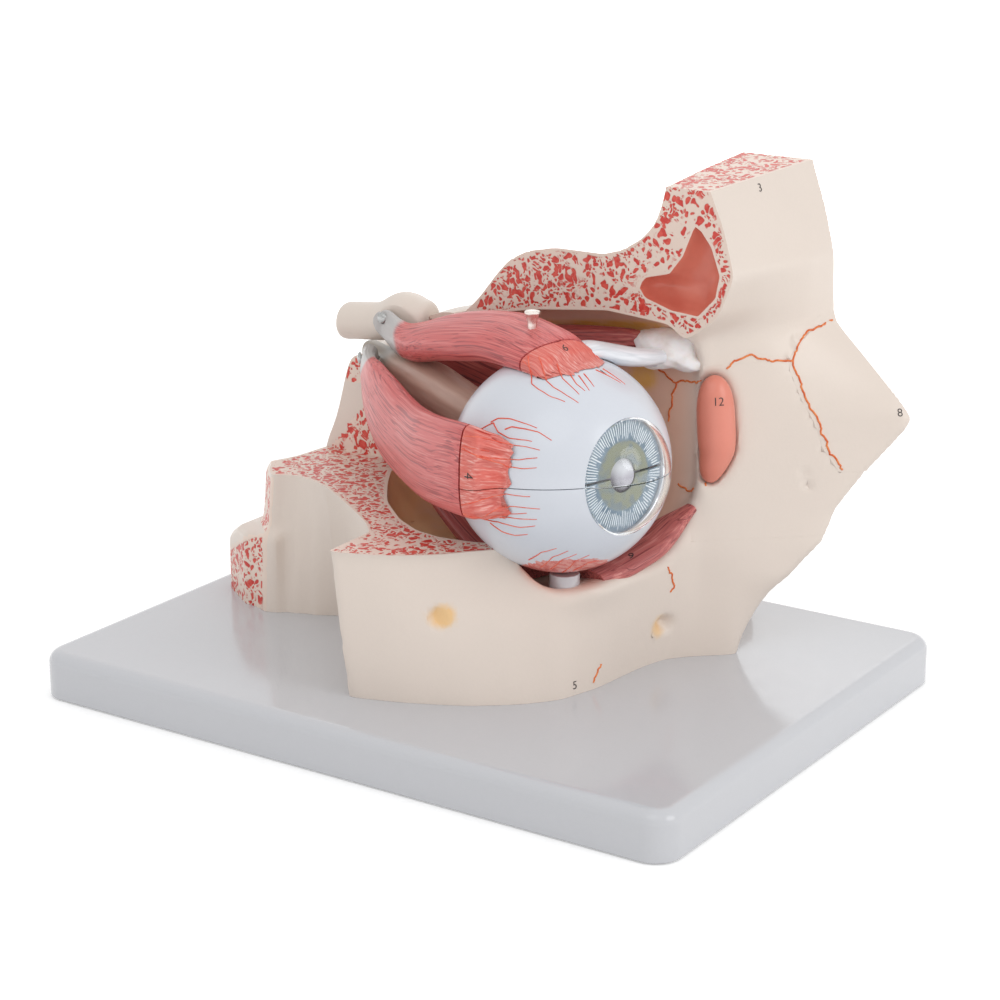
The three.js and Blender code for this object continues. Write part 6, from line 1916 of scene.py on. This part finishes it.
for n, angle in enumerate((100, -125)):
    place = on_eye([[35.5 * math.cos(math.radians(angle)), 35.5 * math.sin(math.radians(angle)), 0]])[0]
    way = EYE_TURN @ np.array([0, 0, 1.0])
    peg = turned_part(f"sclera_peg_{n + 1}_turned",
                      [(-3, 0), (-3, 0.8), (-2.7, 1.1), (2.7, 1.1), (3, 0.8), (3, 0)],
                      place, sclera_white, way, 24)
    fit(peg, "eyeball", [f"sclera_peg_{n + 1}"])


def screw_profile(head_front, head_back, shank_end):
    """Along the screw from the tip to the domed head."""
    points = [(shank_end, 0), (shank_end + 0.6, 0.9), (shank_end + 1.4, 1.2)]
    pitch = 0.8
    place = shank_end + 1.6
    while place < head_back - 1.2:
        points += [(place, 1.2), (place + pitch / 2, 0.95)]
        place += pitch
    points += [(head_back - 0.6, 1.2), (head_back, 1.2), (head_back, 2.1), (head_back + 0.25, 2.2)]
    for angle in np.radians((20, 45, 65, 80)):
        points.append((head_back + 0.25 + (head_front - head_back - 0.25) * math.sin(angle),
                       2.2 * math.cos(angle)))
    points.append((head_front, 0))
    return points


superior_place = SUPERIOR_PIVOT - (0, SUPERIOR_PLATE / 2 + GAP, 0)
superior_screw = turned_part("superior_rectus_screw_turned", screw_profile(1.4, 0, -14),
                             superior_place, steel, (0, -1, 0))
fit(superior_screw, "skull", ["superior_rectus_screw"])
LATERAL_SCREW_TURN = 41
turn_angle = math.radians(LATERAL_SCREW_TURN)
lateral_way = np.array([math.cos(turn_angle), math.sin(turn_angle), 0])
lateral_screw = turned_part("lateral_rectus_screw_turned", screw_profile(5.0, 3.6, -3.6),
                            LATERAL_PIVOT, steel, tuple(-lateral_way))
fit(lateral_screw, "lateral_rectus", ["lateral_rectus_screw"])

# %% [markdown]
# The stage is one large pale floor. A photograph on white has no horizon, so the floor gives off a
# little light of its own, more with distance, until it is as white as the background. Only the
# camera, gloss and glass see that light, so the floor still takes the model's soft shadow.

# %% Stage
FLOOR_HALF = 6
FLOOR_GLOW = 0.3
GLOW_NEAR = 0.25
GLOW_FAR = 0.9
floor_corners = [(-FLOOR_HALF, -FLOOR_HALF, 0), (FLOOR_HALF, -FLOOR_HALF, 0), (FLOOR_HALF, FLOOR_HALF, 0),
                 (-FLOOR_HALF, FLOOR_HALF, 0)]
stage_mesh = bpy.data.meshes.new("floor")
stage_mesh.from_pydata(floor_corners, [], [(0, 1, 2, 3)])
floor = in_scene("floor", stage_mesh)


def seen_by_camera(tree):
    """1 for rays that the camera sees straight, in gloss or through glass, and 0 for all others."""
    path = add_node(tree, "ShaderNodeLightPath").outputs
    seen = calc(tree, "MAXIMUM", path["Is Camera Ray"], path["Is Glossy Ray"])
    return calc(tree, "MAXIMUM", seen, path["Is Transmission Ray"])


def white_to_camera(tree, surface, strength):
    """Adds light of its own to a surface, seen by the camera, in gloss and through glass only."""
    seen = seen_by_camera(tree)
    middle = add_node(tree, "ShaderNodeVectorMath", {0: object_place(tree)},
                      operation="LENGTH").outputs["Value"]
    level = calc(tree, "MULTIPLY", seen, fade(tree, middle, GLOW_NEAR, GLOW_FAR, strength, 1.0))
    glow = add_node(tree, "ShaderNodeEmission", {"Color": (1, 1, 1, 1), "Strength": level})
    return add_node(tree, "ShaderNodeAddShader", {0: surface, 1: glow.outputs[0]}).outputs[0]


floor_paint, tree, shader = new_material("pale floor", Roughness=0.9)
speckle = noise(tree, object_place(tree), 400.0)
tree.links.new(mix_colour(tree, fade(tree, speckle, 0.3, 0.7), (0.86, 0.86, 0.86, 1),
                          (0.89, 0.89, 0.89, 1)),
               shader["Base Color"])
output = tree.nodes["Material Output"]
surface = tree.nodes["Principled BSDF"].outputs[0]
tree.links.new(white_to_camera(tree, surface, FLOOR_GLOW), output.inputs["Surface"])
stage_mesh.materials.append(floor_paint)

# %% [markdown]
# Studio light is mostly even light from all round, with three large soft lamps that model the shape:
# a key from the front, a fill from the side that the eye looks to, and a weak one from behind. The
# lamps stay low, so that pale bone and plastic keep their tone and don't burn out.

# %% Light
WORLD_LIGHT = 0.82
LAMP_AIM = (0, 0, 0.08)
LAMPS = [
    ("key", (0.3, -0.9, 1.2), 1.0, 1.6),
    ("fill", (1.35, 0.0, 0.75), 0.9, 4.2),
    ("rear", (-0.5, 1.1, 0.9), 0.9, 1.2),
]
world = bpy.data.worlds.new("studio")
bpy.context.scene.world = world
world.use_nodes = True
tree = world.node_tree
seen = seen_by_camera(tree)
strength = fade(tree, seen, 0.0, 1.0, WORLD_LIGHT, 1.0)
tree.links.new(strength, tree.nodes["Background"].inputs["Strength"])
tree.nodes["Background"].inputs["Color"].default_value = (1, 1, 1, 1)


def soft_lamp(name, place, aim, size, power):
    data = bpy.data.lights.new(name, "AREA")
    data.shape = "DISK"
    data.size = size
    data.energy = power
    lamp = bpy.data.objects.new(name, data)
    lamp.location = place
    direction = Vector(aim) - Vector(place)
    lamp.rotation_euler = direction.to_track_quat("-Z", "Y").to_euler()
    bpy.context.scene.collection.objects.link(lamp)


for lamp_name, lamp_place, lamp_size, lamp_power in LAMPS:
    soft_lamp(lamp_name, lamp_place, LAMP_AIM, lamp_size, lamp_power)
bpy.context.scene.view_settings.view_transform = "Standard"
print("lamps", [lamp_row[0] for lamp_row in LAMPS])
